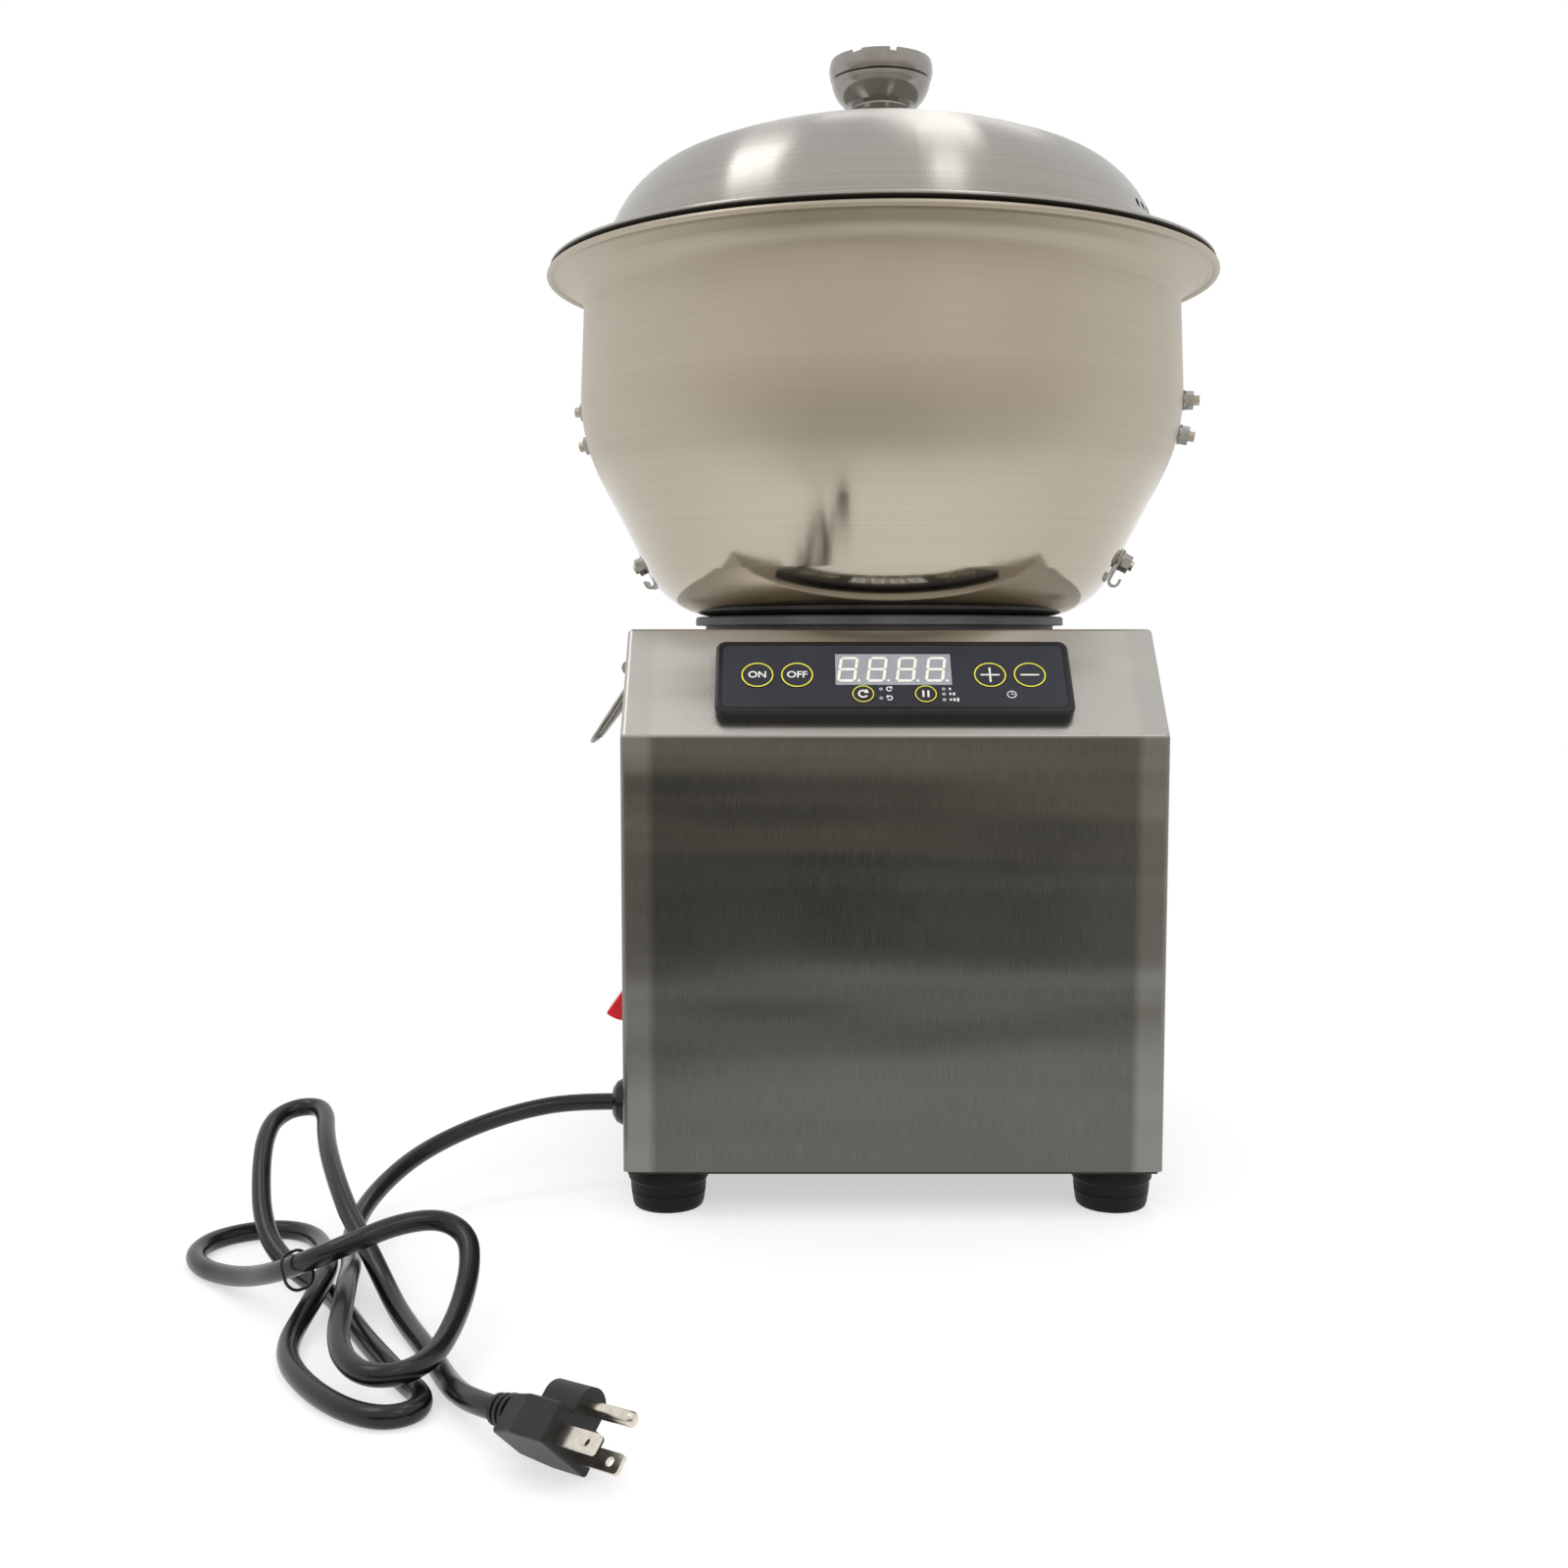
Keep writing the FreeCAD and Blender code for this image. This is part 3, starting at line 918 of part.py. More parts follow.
race = ring(BEARING_RADIUS, SPINDLE_RADIUS + RUN_FIT, (0, 0, 0), (0, 0, BEARING_WIDTH))
save("spindle_bearings", race.translated(V(0, 0, DECK_TOP)), race.translated(V(0, 0, upper_bearing)))


def dogs(start_angle, low, high):
    """Jaws of a dog clutch, as ring sectors between two heights."""
    sectors = []
    for k in range(DOG_COUNT):
        sector = Part.makeCylinder(DOG_RADIUS, high - low, V(0, 0, low), Z_AXIS, DOG_ANGLE)
        sector = sector.cut(rod(DOG_EYE_RADIUS, (0, 0, low), (0, 0, high)))
        sector.rotate(V(0, 0, 0), Z_AXIS, start_angle + k * 360 / DOG_COUNT)
        sectors.append(sector)
    return sectors


# Spindle with its lower pulley and upper dog, driven by a belt from the motor.
dog_disc_z = cartridge_top + 1.0
dog_disc_top = dog_disc_z + DOG_DISC
spindle = rod(SPINDLE_RADIUS, (0, 0, belt_low - PULLEY_CHEEK - 2), (0, 0, dog_disc_z))
spindle = spindle.fuse([rod(DOG_RADIUS, (0, 0, dog_disc_z), (0, 0, dog_disc_top))]
                       + dogs(0, dog_disc_top, dog_disc_top + DOG_HEIGHT))
save("spindle", one(spindle))


def pulley(groove, bore):
    """A pulley with a square belt groove, standing on the belt's height."""
    lip = groove + GROOVE_LIP
    side = 0.4
    return turned([(bore, belt_low - PULLEY_CHEEK), (lip, belt_low - PULLEY_CHEEK), (lip, belt_low - side),
                   (groove, belt_low - side), (groove, belt_top + side), (lip, belt_top + side),
                   (lip, belt_top + PULLEY_CHEEK), (bore, belt_top + PULLEY_CHEEK)])


save("spindle_pulley", pulley(LARGE_GROOVE, SPINDLE_RADIUS + KEYED_FIT))
small_pulley = pulley(SMALL_GROOVE, MOTOR_SHAFT_RADIUS + KEYED_FIT)
save("motor_pulley", small_pulley.translated(V(MOTOR_X, MOTOR_Y, 0)))


def belt_outline(radius_a, radius_b):
    """The closed outline of a band round the spindle and motor axes."""
    span = math.hypot(MOTOR_X, MOTOR_Y)
    aim = math.atan2(MOTOR_Y, MOTOR_X)
    spread = math.acos((radius_a - radius_b) / span)

    def at(cx, cy, radius, angle):
        return V(cx + radius * math.cos(angle), cy + radius * math.sin(angle), belt_low)
    a1, a2 = at(0, 0, radius_a, aim + spread), at(0, 0, radius_a, aim - spread)
    b1, b2 = at(MOTOR_X, MOTOR_Y, radius_b, aim + spread), at(MOTOR_X, MOTOR_Y, radius_b, aim - spread)
    return Part.Face(Part.Wire([
        Part.Arc(a1, at(0, 0, radius_a, aim + math.pi), a2).toShape(),
        Part.LineSegment(a2, b2).toShape(),
        Part.Arc(b2, at(MOTOR_X, MOTOR_Y, radius_b, aim), b1).toShape(),
        Part.LineSegment(b1, a1).toShape()]))


belt_face = belt_outline(LARGE_GROOVE + SEAT_GAP + BELT_THICK, SMALL_GROOVE + SEAT_GAP + BELT_THICK)
belt_eye = belt_outline(LARGE_GROOVE + SEAT_GAP, SMALL_GROOVE + SEAT_GAP)
save("drive_belt", belt_face.cut(belt_eye).extrude(V(0, 0, BELT_HEIGHT)).Solids[0])
belt_ratio = (LARGE_GROOVE + SEAT_GAP + BELT_THICK / 2) / (SMALL_GROOVE + SEAT_GAP + BELT_THICK / 2)
print(f"belt ratio {belt_ratio:.4f}")

# Motor: a closed can standing on the deck, with a rotor on its shaft through the lower bell.
motor_top = DECK_TOP + MOTOR_HEIGHT
low_bell, high_bell = DECK_TOP + MOTOR_BELL, motor_top - MOTOR_BELL
shaft_bore = MOTOR_SHAFT_RADIUS + RUN_FIT
rotor_bore = ROTOR_RADIUS + 0.6
can = turned([(0, motor_top - 4), (0, motor_top), (MOTOR_RADIUS - 3, motor_top),
              (MOTOR_RADIUS, motor_top - 3), (MOTOR_RADIUS, high_bell), (MOTOR_RADIUS - 2, high_bell),
              (MOTOR_RADIUS - 2, low_bell), (MOTOR_RADIUS, low_bell), (MOTOR_RADIUS, DECK_TOP),
              (shaft_bore, DECK_TOP), (shaft_bore, low_bell), (rotor_bore, low_bell), (rotor_bore, high_bell),
              (shaft_bore, high_bell), (shaft_bore, motor_top - 4)])
can = can.translated(V(MOTOR_X, MOTOR_Y, 0))
motor_holes = pillars(tapped, motor_places, DECK_TOP, DECK_TOP + CARTRIDGE_FLANGE_THICK)
save("motor_can", one(can.cut(motor_holes)))
rotor = rod(MOTOR_SHAFT_RADIUS, (0, 0, belt_low - PULLEY_CHEEK), (0, 0, motor_top - 5))
rotor = rotor.fuse(rod(ROTOR_RADIUS, (0, 0, low_bell + 3), (0, 0, high_bell - 3)))
save("motor_rotor", one(rotor).translated(V(MOTOR_X, MOTOR_Y, 0)))

# Power board: a circuit board on standoffs with its transformer, relay, capacitor and terminals.
board_low = BASE_Z + POWER_STANDOFF
board_top = board_low + BOARD_THICK


def on_power(across, back):
    """A place on the power board, in parts of its width and depth."""
    return POWER_SHIFT + (across - 0.5) * POWER_WIDTH, FRONT_Y + POWER_SET_BACK + back * POWER_DEPTH


corner_x, corner_y = POWER_CORNER / POWER_WIDTH, POWER_CORNER / POWER_DEPTH
corners = [on_power(x, y) for x in (corner_x, 1 - corner_x) for y in (corner_y, 1 - corner_y)]
power = [block(on_power(0, 0) + (board_low,), on_power(1, 1) + (board_top,))]
power += pillars(POST_RADIUS / 2, corners, BASE_Z, board_low)
for low, high, tall in (((0.125, 0.18), (0.395, 0.73), 0.92), ((0.46, 0.23), (0.655, 0.57), 0.67),
                        ((0.73, 0.09), (0.855, 0.91), 0.5)):
    power.append(block(on_power(*low) + (board_top,), on_power(*high) + (board_top + tall * POWER_TALL,)))
power += pillars(POWER_WIDTH * 0.07, [on_power(0.55, 0.8)], board_top, board_top + POWER_TALL)
save("power_board", *power)

# Bowl: spun steel with a flared mouth and a rolled bead, a hub over its eye and studs through its wall.
bowl_points = [(HUB_EYE_RADIUS, BOWL_Z), (BOWL_FLOOR_RADIUS, BOWL_Z),
               (BOWL_BELLY_RADIUS, BOWL_Z + BOWL_BELLY_HEIGHT),
               (BOWL_MOUTH_RADIUS, BOWL_Z + BOWL_MOUTH_HEIGHT),
               (BOWL_FLARE_RADIUS, BOWL_Z + BOWL_FLARE_HEIGHT), (BEAD_RING, BOWL_Z + BOWL_FLARE_HEIGHT)]
bowl_rounds = [BOWL_CORNER, BOWL_BELLY_ROUND, BOWL_MOUTH_ROUND, BOWL_FLARE_ROUND]
bowl = spun(sheet_section(bowl_points, bowl_rounds, BOWL_SHEET),
            round_section(BOWL_BEAD_RADIUS, BEAD_RING, BEAD_Z))


def wall_frame(height):
    """A point on the bowl's outer face at a height above its floor, with the outward normal."""
    level = BOWL_Z + height
    reach = max(r for r, z in bowl_points) + BOWL_BEAD_RADIUS
    line = Part.LineSegment(V(0, 0, level), V(reach, 0, level)).toShape()
    radius = max(v.X for v in bowl_half.common(line).Vertexes)
    line_up = line.translated(V(0, 0, 0.5))
    lean_out = (max(v.X for v in bowl_half.common(line_up).Vertexes) - radius) / 0.5
    return V(radius, 0, level), V(1, 0, -lean_out).normalize()


bowl_half = bowl.copy()
stud_frames = [wall_frame(h) for h in STOP_HEIGHTS]
stud_start = STOP_ROD_GAP + STOP_ROD_RADIUS + BOWL_SHEET


def on_bowl(shape):
    """A piece made in the +X half plane, set on the left and the right of the turned bowl."""
    pair = []
    for angle in (180 - BOWL_TURN, -BOWL_TURN):
        moved = shape.copy()
        moved.rotate(V(0, 0, 0), Z_AXIS, angle)
        pair.append(moved)
    return pair


stud_holes = []
for point, out in stud_frames:
    stud_holes += on_bowl(rod(STUD_RADIUS + HOLE_FIT, point - out * 6, point + out * 3))
bowl = one(bowl.cut(stud_holes))
save("bowl_shell", bowl)

rod_points = [p - n * stud_start for p, n in stud_frames]
low_end = rod_points[0] + (rod_points[0] - rod_points[1]).normalize() * 12
high_end = rod_points[2] + (rod_points[2] - rod_points[1]).normalize() * 12
stop = tube([low_end, rod_points[1], high_end], STOP_ROD_RADIUS, [STOP_BEND])
studs = [rod(STUD_RADIUS, p - n * stud_start, p + n * STUD_OUT) for p, n in stud_frames]
save("dough_stops", *on_bowl(one(stop.fuse(studs))))

nut_bore = STUD_RADIUS + NUT_FIT
bowl_nuts = []
for k, (point, out) in enumerate(stud_frames):
    seat_at = point + out * (SEAT_GAP + (HOOK_STRIP if k == 0 else 0))
    washer = ring(WASHER_RADIUS, nut_bore, seat_at, seat_at + out * WASHER_THICK)
    nut = hexagon(NUT_FLATS, seat_at + out * WASHER_THICK, out, NUT_HEIGHT)
    nut = nut.cut(rod(nut_bore, seat_at, seat_at + out * (WASHER_THICK + NUT_HEIGHT)))
    bowl_nuts += on_bowl(washer) + on_bowl(nut)
save("bowl_nuts", *bowl_nuts)

# Latch hooks: bent strips clamped under the lowest nuts.
point, out = stud_frames[0]
along_wall = V(-out.z, 0, out.x) * -1
hook_root = point + out * (SEAT_GAP + HOOK_STRIP / 2)
hook_line = [hook_root - along_wall * 5.5, hook_root + along_wall * HOOK_DROP,
             hook_root + along_wall * HOOK_DROP + out * (2 * HOOK_BEND),
             hook_root + along_wall * (HOOK_DROP - HOOK_TIP) + out * (2 * HOOK_BEND)]
hook_section = Part.makePolygon([hook_line[0] + out * (s * HOOK_STRIP / 2) + V(0, t * HOOK_WIDTH / 2, 0)
                                 for s, t in ((-1, -1), (1, -1), (1, 1), (-1, 1), (-1, -1))])
hook_path = Part.Wire(rounded_edges(hook_line, [HOOK_BEND * 0.98] * 2))
hook = hook_path.makePipeShell([hook_section], True, False)
hook = hook.cut(rod(STUD_RADIUS + NUT_FIT, point - out * 2, point + out * 6))
save("bowl_hooks", *on_bowl(one(hook)))

# Hub: a turned tower bolted over the bowl's eye, with the shaft's bush in it.
hub_top = BOWL_Z + HUB_HEIGHT
cavity_top = BOWL_FLOOR_Z + HUB_CAVITY_DEPTH
hub = turned([(SHAFT_RADIUS + RUN_FIT, cavity_top), (HUB_CAVITY_RADIUS, cavity_top),
              (HUB_CAVITY_RADIUS, BOWL_FLOOR_Z), (HUB_FLANGE_RADIUS, BOWL_FLOOR_Z),
              (HUB_FLANGE_RADIUS, BOWL_FLOOR_Z + HUB_FLANGE),
              (HUB_CAVITY_RADIUS + 3, BOWL_FLOOR_Z + HUB_FLANGE), (HUB_CAVITY_RADIUS + 3, cavity_top + 2),
              (HUB_TOWER_RADIUS, cavity_top + 7), (HUB_TOWER_RADIUS - 1.5, hub_top),
              (SHAFT_RADIUS + RUN_FIT, hub_top)])
save("bowl_hub", hub)
shaft_disc_low = dog_disc_top + DOG_HEIGHT + 0.5
shaft_disc_top = shaft_disc_low + DOG_DISC
arm_low = hub_top + SEAT_GAP
shaft_top = BOWL_Z + SHAFT_TOP
shaft = rod(SHAFT_RADIUS, (0, 0, shaft_disc_low), (0, 0, shaft_top))
shaft = shaft.fuse([rod(DOG_RADIUS, (0, 0, shaft_disc_low), (0, 0, shaft_disc_top))]
                   + dogs(60, dog_disc_top + 0.5, shaft_disc_low))
save("agitator_shaft", one(shaft))

# Kneading arm: a boss on the shaft with two swept rods, locked by a cap nut.
arm_z = arm_low + ARM_BOSS_HEIGHT / 2
sweep_z = BOWL_FLOOR_Z + ARM_ROD_RADIUS + 4
arm_points = [V(4, 0, arm_z), V(36, 0, arm_z), V(60, 10, sweep_z + 7), V(74, 32, sweep_z),
              V(67, 54, sweep_z)]
arm = tube(arm_points, ARM_ROD_RADIUS, easy_radii(arm_points))
other_arm = arm.copy()
other_arm.rotate(V(0, 0, 0), Z_AXIS, 180)
boss = rod(ARM_BOSS_RADIUS, (0, 0, arm_low), (0, 0, arm_low + ARM_BOSS_HEIGHT))
arm_bore = rod(SHAFT_RADIUS + NUT_FIT, (0, 0, arm_low), (0, 0, shaft_top))
save("kneading_arm", one(boss.fuse([arm, other_arm]).cut(arm_bore)))
cap_low = arm_low + ARM_BOSS_HEIGHT
cap_high = shaft_top + 5
cap = turned([(SHAFT_RADIUS + NUT_FIT, cap_low), (CAP_NUT_RADIUS + 3, cap_low),
              (CAP_NUT_RADIUS + 3, cap_low + 5), (CAP_NUT_RADIUS, cap_low + 8),
              (CAP_NUT_RADIUS * 0.7, cap_high - 1), (0, cap_high),
              (0, shaft_top + 0.3), (SHAFT_RADIUS + NUT_FIT, shaft_top + 0.3)])
save("arm_cap_nut", cap)

# Lid: spun dome with a flat brim, a hemmed edge and a locating skirt that stands in the bowl's flare.
def dome_section(radius, height, shoulder):
    """Half section of a full dome on the brim's level: a shoulder arc run into a flatter crown."""
    crown = ((radius - shoulder) ** 2 + height ** 2 - shoulder ** 2) / (2 * (height - shoulder))
    join = math.atan2(crown - height, radius - shoulder)

    def on_shoulder(angle):
        return V(radius - shoulder + shoulder * math.cos(angle), 0, LID_Z + shoulder * math.sin(angle))

    def on_crown(angle):
        return V(crown * math.cos(angle), 0, LID_Z + height - crown + crown * math.sin(angle))
    top, foot = V(0, 0, LID_Z + height), V(0, 0, LID_Z)
    return Part.Face(Part.Wire([
        Part.LineSegment(foot, on_shoulder(0)).toShape(),
        Part.Arc(on_shoulder(0), on_shoulder(join / 2), on_shoulder(join)).toShape(),
        Part.Arc(on_shoulder(join), on_crown((join + math.pi / 2) / 2), top).toShape(),
        Part.LineSegment(top, foot).toShape()]))


flare_slope = BOWL_FLARE_RISE / (BOWL_FLARE_RADIUS - BOWL_MOUTH_RADIUS)
flare_lift = BOWL_SHEET * math.hypot(1, flare_slope)
skirt_low = BOWL_Z + BOWL_MOUTH_HEIGHT + LID_SKIRT_OUT * flare_slope + flare_lift + SEAT_GAP
skirt_in = LID_SKIRT_RADIUS - LID_SHEET
brim_in = LID_DOME_RADIUS - LID_SHEET
brim_top = LID_Z + LID_SHEET
dome = dome_section(LID_DOME_RADIUS, LID_DOME_HEIGHT, LID_SHOULDER)
dome = dome.cut(dome_section(brim_in, LID_DOME_HEIGHT - LID_SHEET, LID_SHOULDER - LID_SHEET))
brim = flat_section([(brim_in, LID_Z), (LID_BRIM_RADIUS, LID_Z), (LID_BRIM_RADIUS, brim_top),
                     (brim_in, brim_top)])
skirt = flat_section([(skirt_in, skirt_low), (LID_SKIRT_RADIUS, skirt_low), (LID_SKIRT_RADIUS, brim_top),
                      (skirt_in, brim_top)])
hem = round_section(LID_HEM_RADIUS, LID_BRIM_RADIUS, LID_Z + LID_HEM_RADIUS / 2)
lid = spun(dome, brim, skirt, hem)
lid_holes = [rod(KNOB_SCREW_RADIUS + HOLE_FIT, (0, 0, CROWN_Z - 5), (0, 0, CROWN_Z + 5))]
for angle in VENT_HOLE_ANGLES:
    out = V(math.cos(math.radians(angle)), math.sin(math.radians(angle)), 0)
    level = V(0, 0, LID_Z + VENT_HOLE_HEIGHT)
    inside = level + out * (LID_DOME_RADIUS * 0.7)
    lid_holes.append(rod(VENT_HOLE_RADIUS, inside, level + out * LID_DOME_RADIUS))
save("lid_shell", one(lid.cut(lid_holes)))

# Knob: a pressed cup on a collar, closed by a polished cap, with one screw up through the lid.
cup_low = CROWN_Z + KNOB_COLLAR_HEIGHT
cup_top = cup_low + KNOB_CUP_HEIGHT
knob_top = cup_top + KNOB_CAP_HEIGHT
collar_low = CROWN_Z + SEAT_GAP
screw_bore = KNOB_SCREW_RADIUS + NUT_FIT
collar = turned([(screw_bore, collar_low), (KNOB_COLLAR_RADIUS - 2, collar_low),
                 (KNOB_COLLAR_RADIUS - 2.6, CROWN_Z + KNOB_COLLAR_HEIGHT * 0.45),
                 (KNOB_COLLAR_RADIUS - 1, CROWN_Z + KNOB_COLLAR_HEIGHT * 0.75),
                 (KNOB_COLLAR_RADIUS, CROWN_Z + KNOB_COLLAR_HEIGHT * 0.85),
                 (KNOB_COLLAR_RADIUS, cup_low), (screw_bore, cup_low)])
seam_radius = KNOB_RADIUS - 1.2
cup_line = [V(screw_bore, 0, cup_low), V(KNOB_CUP_RADIUS - 2, 0, cup_low),
            V(KNOB_CUP_RADIUS + 1.2, 0, cup_low + 3.2), V(seam_radius, 0, cup_top),
            V(screw_bore, 0, cup_top)]
cup = spun(Part.Face(Part.Wire([
    Part.LineSegment(cup_line[0], cup_line[1]).toShape(),
    Part.Arc(cup_line[1], cup_line[2], cup_line[3]).toShape(),
    Part.LineSegment(cup_line[3], cup_line[4]).toShape(),
    Part.LineSegment(cup_line[4], cup_line[0]).toShape()])))
save("lid_knob", one(collar.fuse(cup)))
cap_line = [V(0, 0, cup_top + 0.4), V(seam_radius - 0.6, 0, cup_top + 0.4),
            V(seam_radius + 0.3, 0, cup_top + 1.0), V(KNOB_RADIUS, 0, cup_top + KNOB_CAP_HEIGHT * 0.5),
            V(KNOB_TOP_RADIUS, 0, knob_top - 0.8), V(0, 0, knob_top)]
knob_cap = spun(Part.Face(Part.Wire([
    Part.LineSegment(cap_line[0], cap_line[1]).toShape(),
    Part.LineSegment(cap_line[1], cap_line[2]).toShape(),
    Part.Arc(cap_line[2], cap_line[3], cap_line[4]).toShape(),
    Part.LineSegment(cap_line[4], cap_line[5]).toShape(),
    Part.LineSegment(cap_line[5], cap_line[0]).toShape()])))
knob_cap = knob_cap.fuse(rod(seam_radius - 3, (0, 0, cup_top), (0, 0, cup_top + 0.4)))
screw_top = cup_top + 4
knob_cap = one(knob_cap.cut(rod(screw_bore, (0, 0, cup_top), (0, 0, screw_top + 0.3))))
save("knob_cap", knob_cap)
under_lid = CROWN_Z - LID_SHEET - SEAT_GAP
knob_screw = screw(KNOB_SCREW_RADIUS * 2.2, 3.0, KNOB_SCREW_RADIUS, screw_top - under_lid)
save("knob_screw", knob_screw.translated(V(0, 0, under_lid)))

print(f"total height {knob_top:.1f}, rim diameter {2 * BOWL_RIM_RADIUS:.1f}")
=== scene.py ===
import math

import bmesh
import bpy
from mathutils import Matrix, Vector


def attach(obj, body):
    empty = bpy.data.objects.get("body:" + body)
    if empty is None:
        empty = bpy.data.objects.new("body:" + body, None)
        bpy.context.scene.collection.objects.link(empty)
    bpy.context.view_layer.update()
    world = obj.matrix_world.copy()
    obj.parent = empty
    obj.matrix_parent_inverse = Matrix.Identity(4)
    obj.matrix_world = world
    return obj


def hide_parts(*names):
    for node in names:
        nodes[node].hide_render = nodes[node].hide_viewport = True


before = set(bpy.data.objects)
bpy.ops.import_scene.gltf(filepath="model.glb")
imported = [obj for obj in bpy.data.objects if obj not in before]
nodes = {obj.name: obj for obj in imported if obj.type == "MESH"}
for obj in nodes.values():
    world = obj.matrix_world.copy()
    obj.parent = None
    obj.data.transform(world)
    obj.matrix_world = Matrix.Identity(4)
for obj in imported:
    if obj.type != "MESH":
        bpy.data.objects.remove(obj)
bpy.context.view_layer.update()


# Feet: four black rubber feet, compression moulded with a parting step and bolted under the base.
# Moulded natural rubber is near black and matt, with a fine grain and a greyer bloom from handling.
def linear(code):
    """An sRGB hex colour as linear RGBA."""
    channels = [int(code[k:k + 2], 16) / 255 for k in (1, 3, 5)]
    return [c / 12.92 if c <= 0.04045 else ((c + 0.055) / 1.055) ** 2.4 for c in channels] + [1.0]


def add(tree, kind, values=None, links=None, **settings):
    """Add one shader node with its settings, socket values and links."""
    node = tree.nodes.new("ShaderNode" + kind)
    for name, value in settings.items():
        setattr(node, name, value)
    for socket, value in (values or {}).items():
        node.inputs[socket].default_value = value
    for socket, source in (links or {}).items():
        tree.links.new(source, node.inputs[socket])
    return node


def ramp(node, *stops):
    """Set a colour ramp's stops from (position, hex) pairs."""
    elements = node.color_ramp.elements
    while len(elements) < len(stops):
        elements.new(0.5)
    for element, (position, code) in zip(elements, stops):
        element.position = position
        element.color = linear(code)


def finish(name):
    """A new material with an empty node tree."""
    material = bpy.data.materials.new(name)
    material.use_nodes = True
    material.node_tree.nodes.clear()
    return material, material.node_tree


def dress(material, *names):
    """Give CAD nodes a material."""
    for name in names:
        for holder in nodes[name].material_slots:
            holder.material = material


moulded_rubber, tree = finish("moulded_rubber")
place = add(tree, "TexCoord")
bloom = add(tree, "TexNoise", {"Scale": 1 / 0.012, "Detail": 5.0}, {"Vector": place.outputs["Object"]})
grain = add(tree, "TexNoise", {"Scale": 1 / 0.0006, "Detail": 2.0}, {"Vector": place.outputs["Object"]})
shade = add(tree, "ValToRGB", links={"Fac": bloom.outputs["Fac"]})
ramp(shade, (0.35, "#060606"), (0.75, "#100f0f"))
bump = add(tree, "Bump", {"Strength": 0.35, "Distance": 0.0002}, {"Height": grain.outputs["Fac"]})
skin = add(tree, "BsdfPrincipled", {"Roughness": 0.5, "IOR": 1.52, "Specular IOR Level": 0.2},
           {"Base Color": shade.outputs["Color"], "Normal": bump.outputs["Normal"]})
add(tree, "OutputMaterial", links={"Surface": skin.outputs["BSDF"]})
dress(moulded_rubber, "rubber_feet")

# Bottom plate: flat steel sheet, screwed up into the housing. It and its screws are painted near black,
# as painted shade under the housing's bottom edge. The black coat is matt with a fine orange peel.
black_coat_and_painted_shade, tree = finish("black_coat_and_painted_shade")
place = add(tree, "TexCoord")
peel = add(tree, "TexNoise", {"Scale": 1 / 0.0012, "Detail": 2.0}, {"Vector": place.outputs["Object"]})
shade = add(tree, "ValToRGB", links={"Fac": peel.outputs["Fac"]})
ramp(shade, (0.3, "#101011"), (0.7, "#1a1a1b"))
bump = add(tree, "Bump", {"Strength": 0.2, "Distance": 0.0002}, {"Height": peel.outputs["Fac"]})
skin = add(tree, "BsdfPrincipled", {"Roughness": 0.5, "IOR": 1.5},
           {"Base Color": shade.outputs["Color"], "Normal": bump.outputs["Normal"]})
add(tree, "OutputMaterial", links={"Surface": skin.outputs["BSDF"]})
dress(black_coat_and_painted_shade, "bottom_plate", "bottom_plate_screws")

# Foot and seat fixings: zinc-plated steel screws and nuts for the feet, the seat and the cord's gland.
# Bright zinc is a cool grey metal with a faint crystalline mottle and a soft sheen.
zinc_plate, tree = finish("zinc_plate")
place = add(tree, "TexCoord")
mottle = add(tree, "TexVoronoi", {"Scale": 1 / 0.006}, {"Vector": place.outputs["Object"]})
smear = add(tree, "TexNoise", {"Scale": 1 / 0.025, "Detail": 4.0}, {"Vector": place.outputs["Object"]})
shade = add(tree, "ValToRGB", links={"Fac": mottle.outputs["Distance"]})
ramp(shade, (0.1, "#93928e"), (0.9, "#aeada9"))
dull = add(tree, "MapRange", {"To Min": 0.24, "To Max": 0.42}, {"Value": smear.outputs["Fac"]})
skin = add(tree, "BsdfPrincipled", {"Metallic": 1.0},
           {"Base Color": shade.outputs["Color"], "Roughness": dull.outputs["Result"]})
add(tree, "OutputMaterial", links={"Surface": skin.outputs["BSDF"]})
dress(zinc_plate, "foot_fasteners", "seat_fasteners", "gland_nut")

# Housing: 1.2 mm stainless sheet, folded and welded, its walls ground with a coarse belt, grain upright.
# Belt-ground stainless draws reflections out sideways, with fine upright scratches.
# The walls are painted dark grey and the slope and top pale grey, as painted shade and painted light
# on one sheet. The belt stops short of the upright folds.
FRONT_Y = -0.141
BEND_Z = 0.2157
HALF_WIDTH = 0.120
SLOPE_TILT = math.atan2(46.5, 43.0)
GRAIN_WIDTH = 0.0003       # drawn coarser than the real 0.1 mm so that it shows
GRAIN_LENGTH = 0.012
EDGE_STRIP = 0.013         # left unground beside each upright fold
STRIP_FADE = 0.002
FOLD_FADE = 0.001
SHEET_WAVE = (0.30, 0.30, 0.034)   # size of the slight waves that rolling and folding leave
WAVE_HEIGHT = 0.0022
WAVE_TILT = math.radians(-4)
brushed_stainless, tree = finish("brushed_stainless")
place = add(tree, "TexCoord")
stretch = add(tree, "Mapping", {"Scale": (1 / GRAIN_WIDTH, 1 / GRAIN_WIDTH, 1 / GRAIN_LENGTH)},
              {"Vector": place.outputs["Object"]})
grain = add(tree, "TexNoise", {"Scale": 1.0, "Detail": 3.0, "Roughness": 0.6},
            {"Vector": stretch.outputs["Vector"]})
# The walls' dark grey and the slope's pale grey are painted shade and painted light over the one grain.
coarse_grain_and_painted_shade = add(tree, "ValToRGB", links={"Fac": grain.outputs["Fac"]})
ramp(coarse_grain_and_painted_shade, (0.25, "#595955"), (0.75, "#6d6d68"))
fine_grain_and_painted_light = add(tree, "ValToRGB", links={"Fac": grain.outputs["Fac"]})
ramp(fine_grain_and_painted_light, (0.25, "#b0ada7"), (0.75, "#c2bfb9"))
split = add(tree, "SeparateXYZ", links={"Vector": place.outputs["Object"]})
